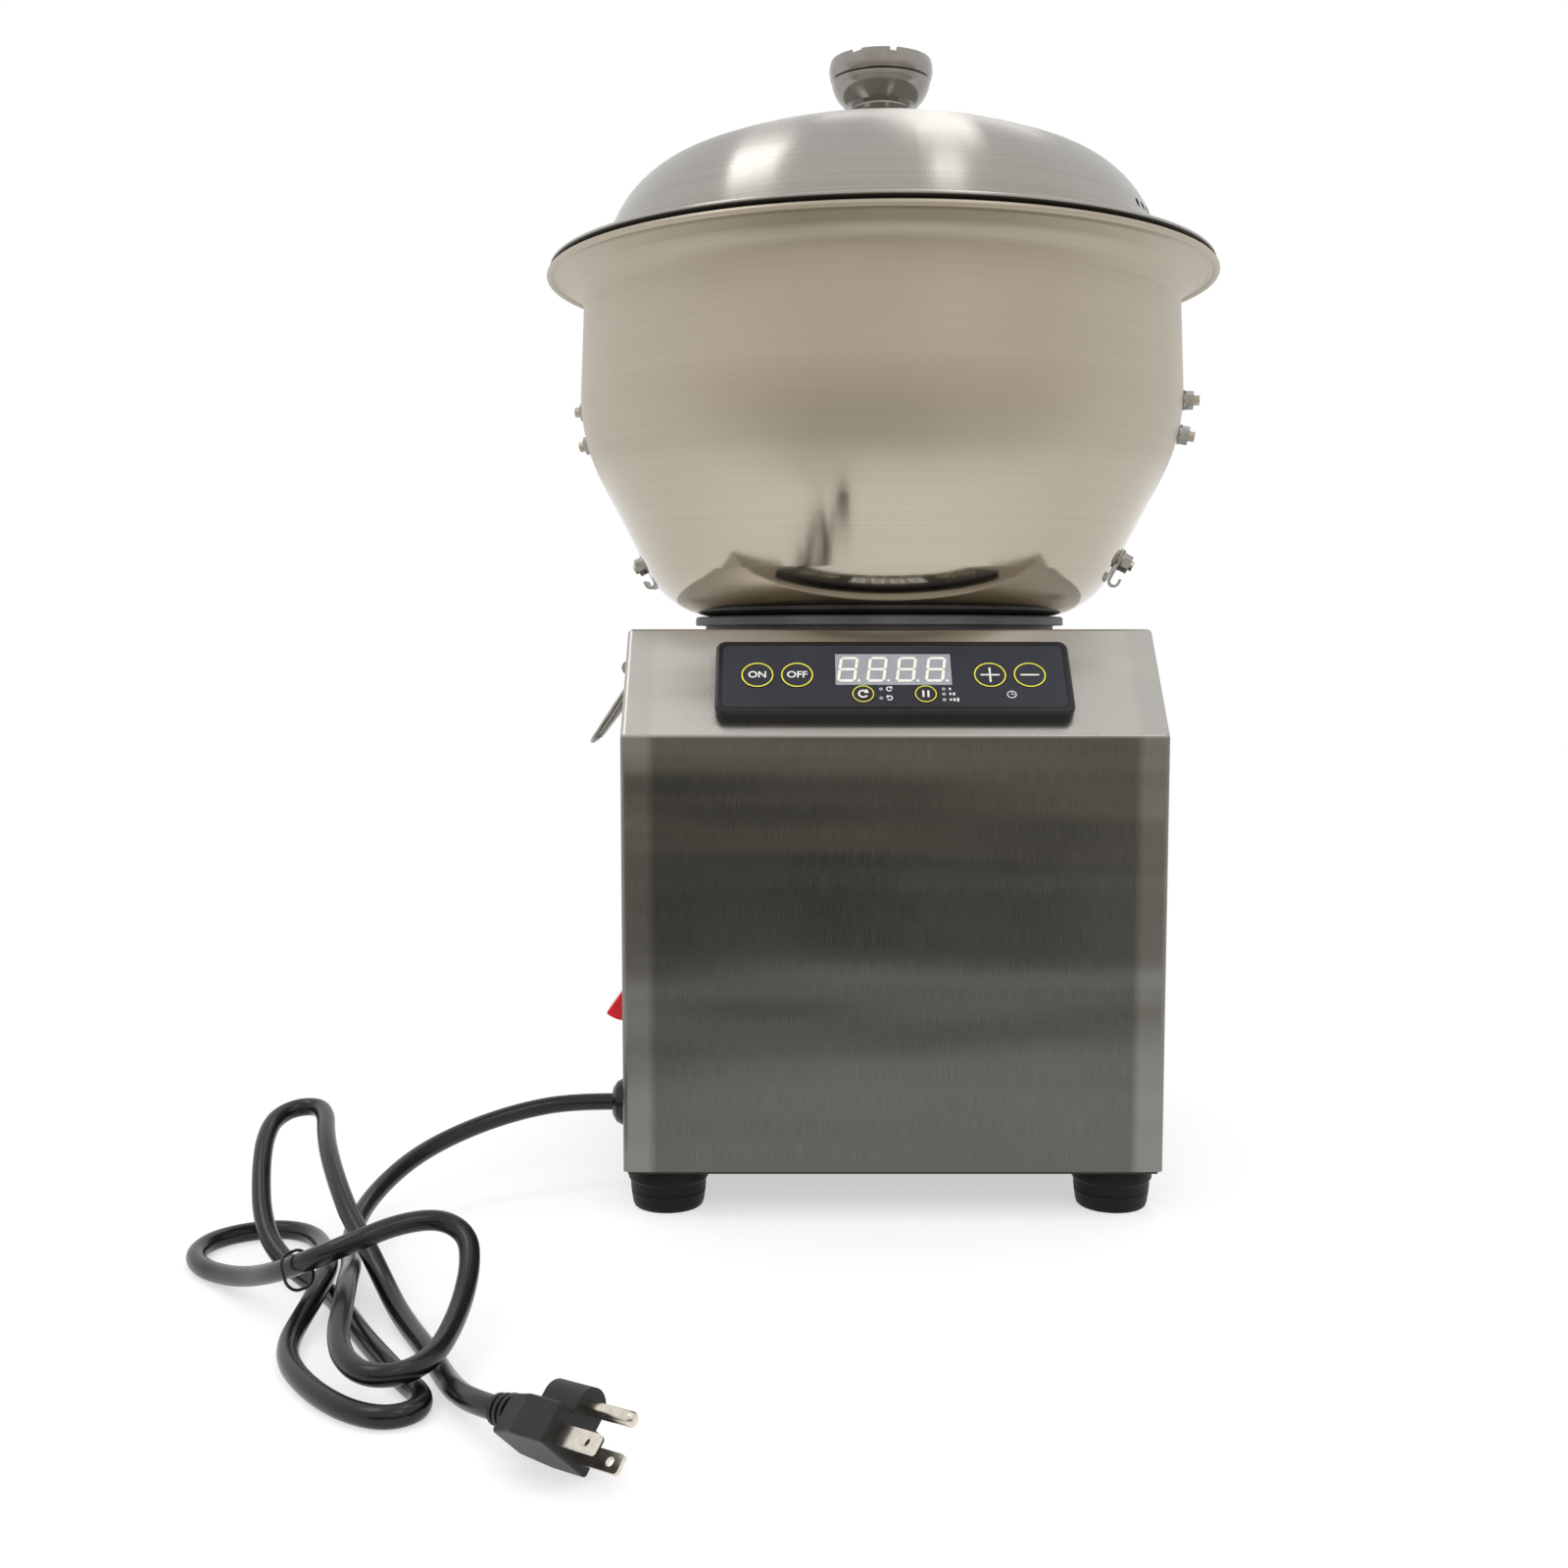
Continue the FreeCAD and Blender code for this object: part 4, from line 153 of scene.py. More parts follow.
high = add(tree, "MapRange", {"From Min": BEND_Z - FOLD_FADE, "From Max": BEND_Z + FOLD_FADE},
           {"Value": split.outputs["Z"]})
ground = add(tree, "MixRGB", links={"Fac": high.outputs["Result"], "Color1": coarse_grain_and_painted_shade.outputs["Color"],
                                    "Color2": fine_grain_and_painted_light.outputs["Color"]})
side = add(tree, "Math", links={0: split.outputs["X"]}, operation="ABSOLUTE")
strip = add(tree, "MapRange", {"From Min": HALF_WIDTH - EDGE_STRIP - STRIP_FADE, "To Max": 0.4,
                               "From Max": HALF_WIDTH - EDGE_STRIP + STRIP_FADE},
            {"Value": side.outputs["Value"]})
tone = add(tree, "MixRGB", {"Color2": linear("#a5a49e")},
           {"Fac": strip.outputs["Result"], "Color1": ground.outputs["Color"]})
smear = add(tree, "TexNoise", {"Scale": 1 / 0.05, "Detail": 4.0}, {"Vector": place.outputs["Object"]})
scratch = add(tree, "MapRange", {"To Min": 0.22, "To Max": 0.32}, {"Value": grain.outputs["Fac"]})
handled = add(tree, "MapRange", {"From Min": 0.35, "From Max": 0.75, "To Min": 0.0, "To Max": 0.06},
              {"Value": smear.outputs["Fac"]})
dull = add(tree, "Math", links={0: scratch.outputs["Result"], 1: handled.outputs["Result"]},
           operation="ADD")
long = add(tree, "Mapping", {"Rotation": (0, WAVE_TILT, 0), "Scale": [1 / w for w in SHEET_WAVE]},
           {"Vector": place.outputs["Object"]})
wave = add(tree, "TexNoise", {"Scale": 1.0, "Detail": 1.0}, {"Vector": long.outputs["Vector"]})
wavy = add(tree, "Bump", {"Strength": 1.0, "Distance": WAVE_HEIGHT}, {"Height": wave.outputs["Fac"]})
bump = add(tree, "Bump", {"Strength": 0.06, "Distance": 0.0002},
           {"Height": grain.outputs["Fac"], "Normal": wavy.outputs["Normal"]})
around = add(tree, "Tangent", direction_type="RADIAL", axis="Z")
skin = add(tree, "BsdfPrincipled", {"Metallic": 1.0, "Anisotropic": 0.7},
           {"Base Color": tone.outputs["Color"], "Roughness": dull.outputs["Value"],
            "Normal": bump.outputs["Normal"], "Tangent": around.outputs["Tangent"]})
add(tree, "OutputMaterial", links={"Surface": skin.outputs["BSDF"]})
dress(brushed_stainless, "housing_shell")

# Drive inside the base: steel deck on posts, coated motor, cast cartridge and pulley, moulded belt.
# None of it shows until the base is opened, so these finishes are plain.
# Cold-rolled mill steel is a soft grey with faint long marks from the rolls.
mill_steel, tree = finish("mill_steel")
place = add(tree, "TexCoord")
stretch = add(tree, "Mapping", {"Scale": (1 / 0.03, 1 / 0.001, 1 / 0.001)},
              {"Vector": place.outputs["Object"]})
grain = add(tree, "TexNoise", {"Scale": 1.0, "Detail": 4.0}, {"Vector": stretch.outputs["Vector"]})
shade = add(tree, "ValToRGB", links={"Fac": grain.outputs["Fac"]})
ramp(shade, (0.3, "#8d8c89"), (0.7, "#a9a8a4"))
dull = add(tree, "MapRange", {"To Min": 0.28, "To Max": 0.5}, {"Value": grain.outputs["Fac"]})
skin = add(tree, "BsdfPrincipled", {"Metallic": 1.0},
           {"Base Color": shade.outputs["Color"], "Roughness": dull.outputs["Result"]})
add(tree, "OutputMaterial", links={"Surface": skin.outputs["BSDF"]})
dress(mill_steel, "drive_deck", "deck_posts", "deck_screws", "spindle", "spindle_bearings",
      "motor_rotor")

# Sand-cast aluminium is pale and dull, with the pitted skin of the mould.
cast_aluminium, tree = finish("cast_aluminium")
place = add(tree, "TexCoord")
sand = add(tree, "TexNoise", {"Scale": 1 / 0.0012, "Detail": 5.0}, {"Vector": place.outputs["Object"]})
shade = add(tree, "ValToRGB", links={"Fac": sand.outputs["Fac"]})
ramp(shade, (0.3, "#a3a29f"), (0.7, "#bbbab6"))
bump = add(tree, "Bump", {"Strength": 0.4, "Distance": 0.0003}, {"Height": sand.outputs["Fac"]})
skin = add(tree, "BsdfPrincipled", {"Metallic": 1.0, "Roughness": 0.48},
           {"Base Color": shade.outputs["Color"], "Normal": bump.outputs["Normal"]})
add(tree, "OutputMaterial", links={"Surface": skin.outputs["BSDF"]})
dress(cast_aluminium, "spindle_cartridge", "spindle_pulley")
dress(black_coat_and_painted_shade, "motor_can", "motor_pulley")
dress(moulded_rubber, "drive_belt")

# Circuit boards: glass-epoxy sheets under a printed lacquer. The power board is on stand-offs in the
# base, and the control board lies against the back of the panel tray.
# Solder mask is a glossy deep green, lighter over the copper tracks.
solder_mask, tree = finish("solder_mask")
place = add(tree, "TexCoord")
tracks = add(tree, "TexBrick",
             {"Scale": 1.0, "Mortar Size": 0.0003, "Brick Width": 0.006, "Row Height": 0.002,
              "Color1": linear("#12502c"), "Color2": linear("#17613a"), "Mortar": linear("#0e3d22")},
             {"Vector": place.outputs["Object"]})
skin = add(tree, "BsdfPrincipled", {"Roughness": 0.32, "IOR": 1.5},
           {"Base Color": tracks.outputs["Color"]})
add(tree, "OutputMaterial", links={"Surface": skin.outputs["BSDF"]})
dress(solder_mask, "power_board", "control_board")

# Bowl seat: a two-step disc of dark grey glass-filled nylon, moulded and screwed to the housing's top.
# Filled nylon is matt with a fine even spark texture and pale scuffs where the bowl stands on it.
# The warming plate sunk in it is cast aluminium.
seat_nylon, tree = finish("seat_nylon")
place = add(tree, "TexCoord")
spark = add(tree, "TexNoise", {"Scale": 1 / 0.0008, "Detail": 3.0}, {"Vector": place.outputs["Object"]})
scuff = add(tree, "TexNoise", {"Scale": 1 / 0.02, "Detail": 6.0}, {"Vector": place.outputs["Object"]})
shade = add(tree, "ValToRGB", links={"Fac": scuff.outputs["Fac"]})
ramp(shade, (0.4, "#43444a"), (0.8, "#5a5b60"))
bump = add(tree, "Bump", {"Strength": 0.3, "Distance": 0.0002}, {"Height": spark.outputs["Fac"]})
skin = add(tree, "BsdfPrincipled", {"Roughness": 0.5, "IOR": 1.53},
           {"Base Color": shade.outputs["Color"], "Normal": bump.outputs["Normal"]})
add(tree, "OutputMaterial", links={"Surface": skin.outputs["BSDF"]})
dress(seat_nylon, "bowl_seat")
dress(cast_aluminium, "heater_plate")

# Panel tray: black ABS, injection moulded, with a tail that goes in through an opening in the slope.
# Polished-tool ABS is deep black with a soft gloss, slightly wavy from the mould.
abs_black, tree = finish("abs_black")
place = add(tree, "TexCoord")
wave = add(tree, "TexNoise", {"Scale": 1 / 0.004, "Detail": 3.0}, {"Vector": place.outputs["Object"]})
shade = add(tree, "ValToRGB", links={"Fac": wave.outputs["Fac"]})
ramp(shade, (0.3, "#0d0d10"), (0.7, "#17171b"))
dull = add(tree, "MapRange", {"To Min": 0.16, "To Max": 0.24}, {"Value": wave.outputs["Fac"]})
bump = add(tree, "Bump", {"Strength": 0.01, "Distance": 0.0003}, {"Height": wave.outputs["Fac"]})
skin = add(tree, "BsdfPrincipled", {"IOR": 1.53, "Specular IOR Level": 0.35},
           {"Base Color": shade.outputs["Color"], "Roughness": dull.outputs["Result"],
            "Normal": bump.outputs["Normal"]})
add(tree, "OutputMaterial", links={"Surface": skin.outputs["BSDF"]})
dress(abs_black, "panel_bezel")

# Panel film and key caps: screen-printed polyester, dark slate, with a fine pebbled face.
# The film lies in the tray's face. The pebble scatters the light, so the slate looks greyer than its ink.
PEBBLE = 0.0004            # drawn coarser than the real 0.25 mm so that it shows
printed_film, tree = finish("printed_film")
place = add(tree, "TexCoord")
pebble = add(tree, "TexVoronoi", {"Scale": 1 / PEBBLE}, {"Vector": place.outputs["Object"]})
cloud = add(tree, "TexNoise", {"Scale": 1 / 0.03, "Detail": 3.0}, {"Vector": place.outputs["Object"]})
shade = add(tree, "ValToRGB", links={"Fac": cloud.outputs["Fac"]})
ramp(shade, (0.3, "#20222b"), (0.7, "#292b35"))
bump = add(tree, "Bump", {"Strength": 0.25, "Distance": 0.0001}, {"Height": pebble.outputs["Distance"]})
skin = add(tree, "BsdfPrincipled", {"Roughness": 0.42, "IOR": 1.58, "Specular IOR Level": 0.3},
           {"Base Color": shade.outputs["Color"], "Normal": bump.outputs["Normal"]})
add(tree, "OutputMaterial", links={"Surface": skin.outputs["BSDF"]})
dress(printed_film, "panel_overlay", "key_on", "key_off", "key_plus", "key_minus", "key_mode",
      "key_rest")

# Print on the keys: yellow rings and white signs, laid on as thick screen ink.
# Ink sits 0.05 mm proud and is a little glossy, with slightly uneven cover.
PANEL_CENTRE = 0.0296      # up the slope from its lower fold
PANEL_PROUD = 0.0061
KEY_PROUD = 0.00025
INK_THICK = 0.00005
scene = bpy.context.scene
slope = (Matrix.Translation((0, FRONT_Y, BEND_Z)) @ Matrix.Rotation(SLOPE_TILT, 4, "X")
         @ Matrix.Translation((0, PANEL_CENTRE, 0)))
inks = {}
for ink_name, dark, pale in (("yellow_ink", "#d6cf34", "#e8e25a"), ("white_ink", "#d4d4cf", "#e6e6e2")):
    ink, tree = finish(ink_name)
    place = add(tree, "TexCoord")
    cover = add(tree, "TexNoise", {"Scale": 1 / 0.001, "Detail": 2.0},
                {"Vector": place.outputs["Object"]})
    shade = add(tree, "ValToRGB", links={"Fac": cover.outputs["Fac"]})
    ramp(shade, (0.3, dark), (0.7, pale))
    skin = add(tree, "BsdfPrincipled", {"Roughness": 0.38, "IOR": 1.5},
               {"Base Color": shade.outputs["Color"]})
    add(tree, "OutputMaterial", links={"Surface": skin.outputs["BSDF"]})
    inks[ink_name] = ink


def print_sign(name, outlines, height, ink, body):
    """Lay closed outlines, in metres on the panel, as one raised ink print that rides on a body."""
    mesh = bpy.data.meshes.new(name)
    form = bmesh.new()
    for outer, inner in outlines:
        low = [form.verts.new((x, y, height)) for x, y in outer]
        high = [form.verts.new((x, y, height + INK_THICK)) for x, y in outer]
        count = len(outer)
        if inner:
            low_in = [form.verts.new((x, y, height)) for x, y in inner]
            high_in = [form.verts.new((x, y, height + INK_THICK)) for x, y in inner]
            for k in range(count):
                m = (k + 1) % count
                form.faces.new((high[k], high[m], high_in[m], high_in[k]))
                form.faces.new((low[k], low[m], high[m], high[k]))
                form.faces.new((low_in[m], low_in[k], high_in[k], high_in[m]))
                form.faces.new((low[m], low[k], low_in[k], low_in[m]))
            continue
        form.faces.new(high)
        form.faces.new(low[::-1])
        for k in range(count):
            m = (k + 1) % count
            form.faces.new((low[k], low[m], high[m], high[k]))
    form.transform(slope)
    form.to_mesh(mesh)
    form.free()
    sign = bpy.data.objects.new(name, mesh)
    scene.collection.objects.link(sign)
    mesh.materials.append(inks[ink])
    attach(sign, body)


def circle(x, y, radius, count=48):
    turns = [2 * math.pi * k / count for k in range(count)]
    return [(x + radius * math.cos(a), y + radius * math.sin(a)) for a in turns]


def bar(x, y, width, height):
    left, right = x - width / 2, x + width / 2
    low, high = y - height / 2, y + height / 2
    return [(left, low), (right, low), (right, high), (left, high)]


KEY_ROW = 0.0003
SMALL_KEY_ROW = -0.0108
KEY_RADIUS = 0.0072
SMALL_KEY_RADIUS = 0.0049
RING_INSET = 0.0001        # ring's outer edge inside the key's
RING_LINE = 0.00058
SMALL_RING_LINE = 0.00045
key_places = {"key_on": (-0.0603, KEY_ROW), "key_off": (-0.0427, KEY_ROW),
              "key_plus": (0.0427, KEY_ROW), "key_minus": (0.0603, KEY_ROW),
              "key_mode": (-0.01375, SMALL_KEY_ROW), "key_rest": (0.01375, SMALL_KEY_ROW)}
key_top = PANEL_PROUD + KEY_PROUD
for key, (x, y) in key_places.items():
    small = y == SMALL_KEY_ROW
    outer = (SMALL_KEY_RADIUS if small else KEY_RADIUS) - RING_INSET
    inner = outer - (SMALL_RING_LINE if small else RING_LINE)
    print_sign(key + "_ring", [(circle(x, y, outer), circle(x, y, inner))], key_top, "yellow_ink", key)
PLUS_ARM = 0.0085
MINUS_LENGTH = 0.0082
SIGN_LINE = 0.00085
x, y = key_places["key_plus"]
half, thin = PLUS_ARM / 2, SIGN_LINE / 2
cross = [(-thin, -half), (thin, -half), (thin, -thin), (half, -thin), (half, thin), (thin, thin),
         (thin, half), (-thin, half), (-thin, thin), (-half, thin), (-half, -thin), (-thin, -thin)]
print_sign("plus_sign", [([(x + dx, y + dy) for dx, dy in cross], None)], key_top, "white_ink",
           "key_plus")
x, y = key_places["key_minus"]
print_sign("minus_sign", [(bar(x, y, MINUS_LENGTH, SIGN_LINE), None)], key_top, "white_ink",
           "key_minus")
LETTER_HEIGHT = 0.0052
LETTER_BOLD = 0.00009
for key, word in (("key_on", "ON"), ("key_off", "OFF")):
    x, y = key_places[key]
    letters = bpy.data.curves.new(word.lower() + "_word", "FONT")
    letters.body = word
    letters.size = LETTER_HEIGHT
    letters.align_x = "CENTER"
    letters.align_y = "CENTER"
    letters.extrude = INK_THICK / 2
    letters.offset = LETTER_BOLD
    letters.materials.append(inks["white_ink"])
    sign = bpy.data.objects.new(word.lower() + "_word", letters)
    scene.collection.objects.link(sign)
    sign.matrix_world = slope @ Matrix.Translation((x, y, key_top + INK_THICK / 2))
    bpy.context.view_layer.update()
    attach(sign, key)


def turn_arrow(x, y, radius, way):
    """A three-quarter ring with an arrow head, for a direction of turning."""

    def polar(reach, turn):
        return (x + way * reach * math.cos(turn), y + reach * math.sin(turn))

    line = radius * 0.22
    steps = 20
    tip = math.radians(60)
    sweep = [math.radians(60 + 270 * k / steps) for k in range(steps + 1)]
    ring_shape = [polar(radius + line, a) for a in sweep] + [polar(radius - line, a) for a in sweep[::-1]]
    head = [polar(radius * 1.75, tip), polar(radius * 0.3, tip), polar(radius * 1.35, tip - 0.85)]
    return [(shape if way > 0 else shape[::-1], None) for shape in (ring_shape, head)]


TURN_X, TURN_ROWS, TURN_RADIUS = -0.0022, (-0.0078, -0.0130), 0.00115
MODE_RADIUS = 0.0019
print_sign("turn_signs", turn_arrow(TURN_X, TURN_ROWS[0], TURN_RADIUS, 1)
           + turn_arrow(TURN_X, TURN_ROWS[1], TURN_RADIUS, -1), PANEL_PROUD, "white_ink", "base")
x, y = key_places["key_mode"]
print_sign("mode_sign", turn_arrow(x, y, MODE_RADIUS, 1), key_top, "white_ink", "key_mode")
REST_OFF, REST_WIDTH, REST_HEIGHT = 0.0011, 0.0009, 0.0038
x, y = key_places["key_rest"]
print_sign("rest_sign", [(bar(x - REST_OFF, y, REST_WIDTH, REST_HEIGHT), None),
                         (bar(x + REST_OFF, y, REST_WIDTH, REST_HEIGHT), None)],
           key_top, "white_ink", "key_rest")
LEVEL_X, LEVEL_STEP, LEVEL_WIDTH = 0.0245, 0.0016, 0.0009
LEVEL_HEIGHT, LEVEL_RISE = 0.0012, 0.0004
levels = []
for row, count in ((-0.0078, 1), (-0.0107, 2), (-0.0140, 3)):
    levels += [(bar(LEVEL_X + LEVEL_STEP * k, row, LEVEL_WIDTH, LEVEL_HEIGHT + LEVEL_RISE * k), None)
               for k in range(count)]
print_sign("level_signs", levels, PANEL_PROUD, "white_ink", "base")
DIAL_X, DIAL_Y, DIAL_RADIUS, DIAL_INNER = 0.0515, -0.0110, 0.0021, 0.0017
LONG_HAND, SHORT_HAND, HAND_LINE = 0.0014, 0.0012, 0.0003
dial = [(circle(DIAL_X, DIAL_Y, DIAL_RADIUS), circle(DIAL_X, DIAL_Y, DIAL_INNER)),
        (bar(DIAL_X, DIAL_Y + LONG_HAND / 2, HAND_LINE, LONG_HAND), None),
        (bar(DIAL_X + SHORT_HAND / 2, DIAL_Y, SHORT_HAND, HAND_LINE), None)]
print_sign("timer_sign", dial, PANEL_PROUD, "white_ink", "base")

# Display: a four-digit module behind a grey smoked filter, with cream unlit segments.
# The filter is tinted acrylic, smooth, and lets the grey module behind it show as an even haze.
grey_filter, tree = finish("grey_filter")
place = add(tree, "TexCoord")
haze = add(tree, "TexNoise", {"Scale": 1 / 0.008, "Detail": 3.0}, {"Vector": place.outputs["Object"]})
shade = add(tree, "ValToRGB", links={"Fac": haze.outputs["Fac"]})
ramp(shade, (0.3, "#92959e"), (0.7, "#9da0a9"))
skin = add(tree, "BsdfPrincipled", {"Roughness": 0.25, "IOR": 1.49},
           {"Base Color": shade.outputs["Color"]})
add(tree, "OutputMaterial", links={"Surface": skin.outputs["BSDF"]})
dress(grey_filter, "display_module")

# The segments' diffusing epoxy is cream and faintly cloudy, with a soft sheen.
cream_epoxy, tree = finish("cream_epoxy")
place = add(tree, "TexCoord")
cloud = add(tree, "TexNoise", {"Scale": 1 / 0.002, "Detail": 2.0}, {"Vector": place.outputs["Object"]})
shade = add(tree, "ValToRGB", links={"Fac": cloud.outputs["Fac"]})
ramp(shade, (0.3, "#e4e4d8"), (0.7, "#eeeee4"))
skin = add(tree, "BsdfPrincipled", {"Roughness": 0.4, "IOR": 1.5},
           {"Base Color": shade.outputs["Color"]})
add(tree, "OutputMaterial", links={"Surface": skin.outputs["BSDF"]})
dress(cream_epoxy, "display_segments")

# Indicator lamps: five small clear epoxy lenses, unlit, pushed up through the film from the board.
# Clear epoxy over a dark die looks grey, with a bright glint.
lamp_epoxy, tree = finish("lamp_epoxy")
place = add(tree, "TexCoord")
cloud = add(tree, "TexNoise", {"Scale": 1 / 0.0008, "Detail": 2.0}, {"Vector": place.outputs["Object"]})
shade = add(tree, "ValToRGB", links={"Fac": cloud.outputs["Fac"]})
ramp(shade, (0.3, "#85868a"), (0.7, "#a3a4a6"))
skin = add(tree, "BsdfPrincipled", {"Roughness": 0.2, "IOR": 1.5},
           {"Base Color": shade.outputs["Color"]})
add(tree, "OutputMaterial", links={"Surface": skin.outputs["BSDF"]})
dress(lamp_epoxy, "indicator_lamps")

# Rocker switch: a red polycarbonate rocker in a moulded black frame that snaps into the left wall.
# The frame is ABS, as glossy as the panel tray.
# Gloss-moulded polycarbonate has a clear red with a slight depth and a few handling marks.
red_polycarbonate, tree = finish("red_polycarbonate")
place = add(tree, "TexCoord")
cloud = add(tree, "TexNoise", {"Scale": 1 / 0.006, "Detail": 3.0}, {"Vector": place.outputs["Object"]})
shade = add(tree, "ValToRGB", links={"Fac": cloud.outputs["Fac"]})
ramp(shade, (0.3, "#d4001a"), (0.7, "#e40626"))
dull = add(tree, "MapRange", {"To Min": 0.16, "To Max": 0.3}, {"Value": cloud.outputs["Fac"]})
skin = add(tree, "BsdfPrincipled", {"IOR": 1.58, "Specular IOR Level": 0.35},
           {"Base Color": shade.outputs["Color"], "Roughness": dull.outputs["Result"]})
add(tree, "OutputMaterial", links={"Surface": skin.outputs["BSDF"]})
dress(red_polycarbonate, "switch_rocker")
dress(abs_black, "switch_frame")

# Mains cord: three cores in a round black PVC sheath, folded into loose loops and tied.
# It comes out of the left wall through a gland moulded of black ABS.
# Plasticised PVC is black with a waxy gloss and a slightly uneven skin.
CORD_DIAMETER = 0.0079
CORD_ROUTE_MM = [
    (-129, -90, 39.8), (-149, -90, 39.8), (-171, -99, 38), (-193, -112, 33.5), (-211, -130, 28),
    (-222, -151, 22), (-228, -174, 16), (-227, -198, 12), (-221, -221, 11), (-216, -241, 15),
    (-212, -262, 18.5), (-208, -284, 18), (-205, -304, 15.5), (-199, -321, 13.5),
    (-188, -333, 12.5), (-175, -331, 12.5), (-168, -316, 13), (-166, -298, 15), (-165, -281, 19),
    (-165, -266, 26), (-168, -254, 33), (-179, -248, 37.5), (-194, -254, 37.5), (-208, -265, 34.5),
    (-223, -268, 29), (-239, -257, 20), (-255, -239, 11), (-271, -223, 5.5), (-285, -210, 4),
    (-293, -195, 4), (-291, -179, 4), (-280, -168, 4), (-265, -164, 4), (-251, -170, 4),
    (-242, -185, 4.5), (-236, -203, 6), (-230, -221, 10.8), (-226, -238, 13.2), (-225, -254, 12),
    (-227, -269, 7.5), (-228, -284, 4.5), (-224, -300, 4), (-215, -316, 4), (-203, -331, 4),
    (-190, -342, 4), (-178, -346, 4), (-169, -340, 4), (-170, -329, 4), (-179, -317, 4),
    (-191, -298, 4), (-203, -278, 4), (-214, -257, 4), (-225, -238, 4), (-237, -225, 4.5),
    (-249, -215, 8), (-258, -206, 14), (-264, -195, 21.5), (-268, -183, 29), (-271, -171, 36.5),
    (-273, -159, 42.5), (-273, -146, 47), (-267, -136, 49.5), (-256, -135, 50), (-250, -146, 48.5),
    (-246, -162, 46), (-240, -180, 42), (-232, -198, 35.5), (-223, -215, 27.5),
    (-211.6, -230.8, 19.2), (-203, -243, 11), (-195, -257, 6), (-186, -273, 4), (-177.5, -289, 4),
    (-169.8, -305, 4.2), (-163.3, -320, 5.2), (-157.3, -334.8, 8.2), (-149.2, -349.3, 11.3),
    (-140.1, -357.2, 12.6),
]
black_pvc, tree = finish("black_pvc")
place = add(tree, "TexCoord")
wax = add(tree, "TexNoise", {"Scale": 1 / 0.009, "Detail": 4.0}, {"Vector": place.outputs["Object"]})
draw = add(tree, "TexNoise", {"Scale": 1 / 0.0012, "Detail": 2.0}, {"Vector": place.outputs["Object"]})
shade = add(tree, "ValToRGB", links={"Fac": wax.outputs["Fac"]})
ramp(shade, (0.3, "#08080a"), (0.75, "#121214"))
dull = add(tree, "MapRange", {"To Min": 0.18, "To Max": 0.32}, {"Value": wax.outputs["Fac"]})
bump = add(tree, "Bump", {"Strength": 0.12, "Distance": 0.0002}, {"Height": draw.outputs["Fac"]})
skin = add(tree, "BsdfPrincipled", {"IOR": 1.53, "Specular IOR Level": 0.4},
           {"Base Color": shade.outputs["Color"], "Roughness": dull.outputs["Result"],
            "Normal": bump.outputs["Normal"]})
add(tree, "OutputMaterial", links={"Surface": skin.outputs["BSDF"]})
cord_curve = bpy.data.curves.new("mains_cord", "CURVE")
cord_curve.dimensions = "3D"
cord_curve.bevel_depth = CORD_DIAMETER / 2
cord_curve.bevel_resolution = 6
cord_curve.resolution_u = 10
cord_curve.use_fill_caps = True
line = cord_curve.splines.new("NURBS")
line.points.add(len(CORD_ROUTE_MM) - 1)
for point, at in zip(line.points, CORD_ROUTE_MM):
    point.co = [v / 1000 for v in at] + [1.0]
line.order_u = 3
line.use_endpoint_u = True
cord_curve.materials.append(black_pvc)
mains_cord = bpy.data.objects.new("mains_cord", cord_curve)
scene.collection.objects.link(mains_cord)
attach(mains_cord, "base")
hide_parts("cord_lead", "cord_loops", "cord_tail")
dress(black_pvc, "cord_tie")
dress(abs_black, "cord_gland")

# Plug: a moulded black PVC body over nickel-plated brass blades and a round earth pin.
# The moulding has soft edges and a dry, finely grained skin.
plug_pvc, tree = finish("plug_pvc")
place = add(tree, "TexCoord")
grain = add(tree, "TexNoise", {"Scale": 1 / 0.0007, "Detail": 3.0}, {"Vector": place.outputs["Object"]})
shade = add(tree, "ValToRGB", links={"Fac": grain.outputs["Fac"]})
ramp(shade, (0.3, "#0c0c0d"), (0.7, "#161617"))
bump = add(tree, "Bump", {"Strength": 0.3, "Distance": 0.00015}, {"Height": grain.outputs["Fac"]})
skin = add(tree, "BsdfPrincipled", {"Roughness": 0.45, "IOR": 1.53, "Specular IOR Level": 0.35},
           {"Base Color": shade.outputs["Color"], "Normal": bump.outputs["Normal"]})
add(tree, "OutputMaterial", links={"Surface": skin.outputs["BSDF"]})
dress(plug_pvc, "plug_body")

# Nickel over brass is bright with a warm cast, dulled in patches where it drags in a socket.
nickel_plate, tree = finish("nickel_plate")
place = add(tree, "TexCoord")
drag = add(tree, "TexNoise", {"Scale": 1 / 0.003, "Detail": 4.0}, {"Vector": place.outputs["Object"]})
shade = add(tree, "ValToRGB", links={"Fac": drag.outputs["Fac"]})
ramp(shade, (0.3, "#cfc8ba"), (0.7, "#e0dacd"))
dull = add(tree, "MapRange", {"To Min": 0.12, "To Max": 0.3}, {"Value": drag.outputs["Fac"]})
skin = add(tree, "BsdfPrincipled", {"Metallic": 1.0},
           {"Base Color": shade.outputs["Color"], "Roughness": dull.outputs["Result"]})
add(tree, "OutputMaterial", links={"Surface": skin.outputs["BSDF"]})
dress(nickel_plate, "plug_pins")

# Toggle latches and bowl hardware: pressed levers and plates riveted to the side walls, wire bails,
# and the hooks and hex nuts on the bowl. All are steel with the bright zinc of the foot fixings.
dress(zinc_plate, "latch_plates", "latch_rivets", "latch_lever_left", "latch_lever_right",
      "latch_bail_left", "latch_bail_right", "bowl_nuts", "bowl_hooks")

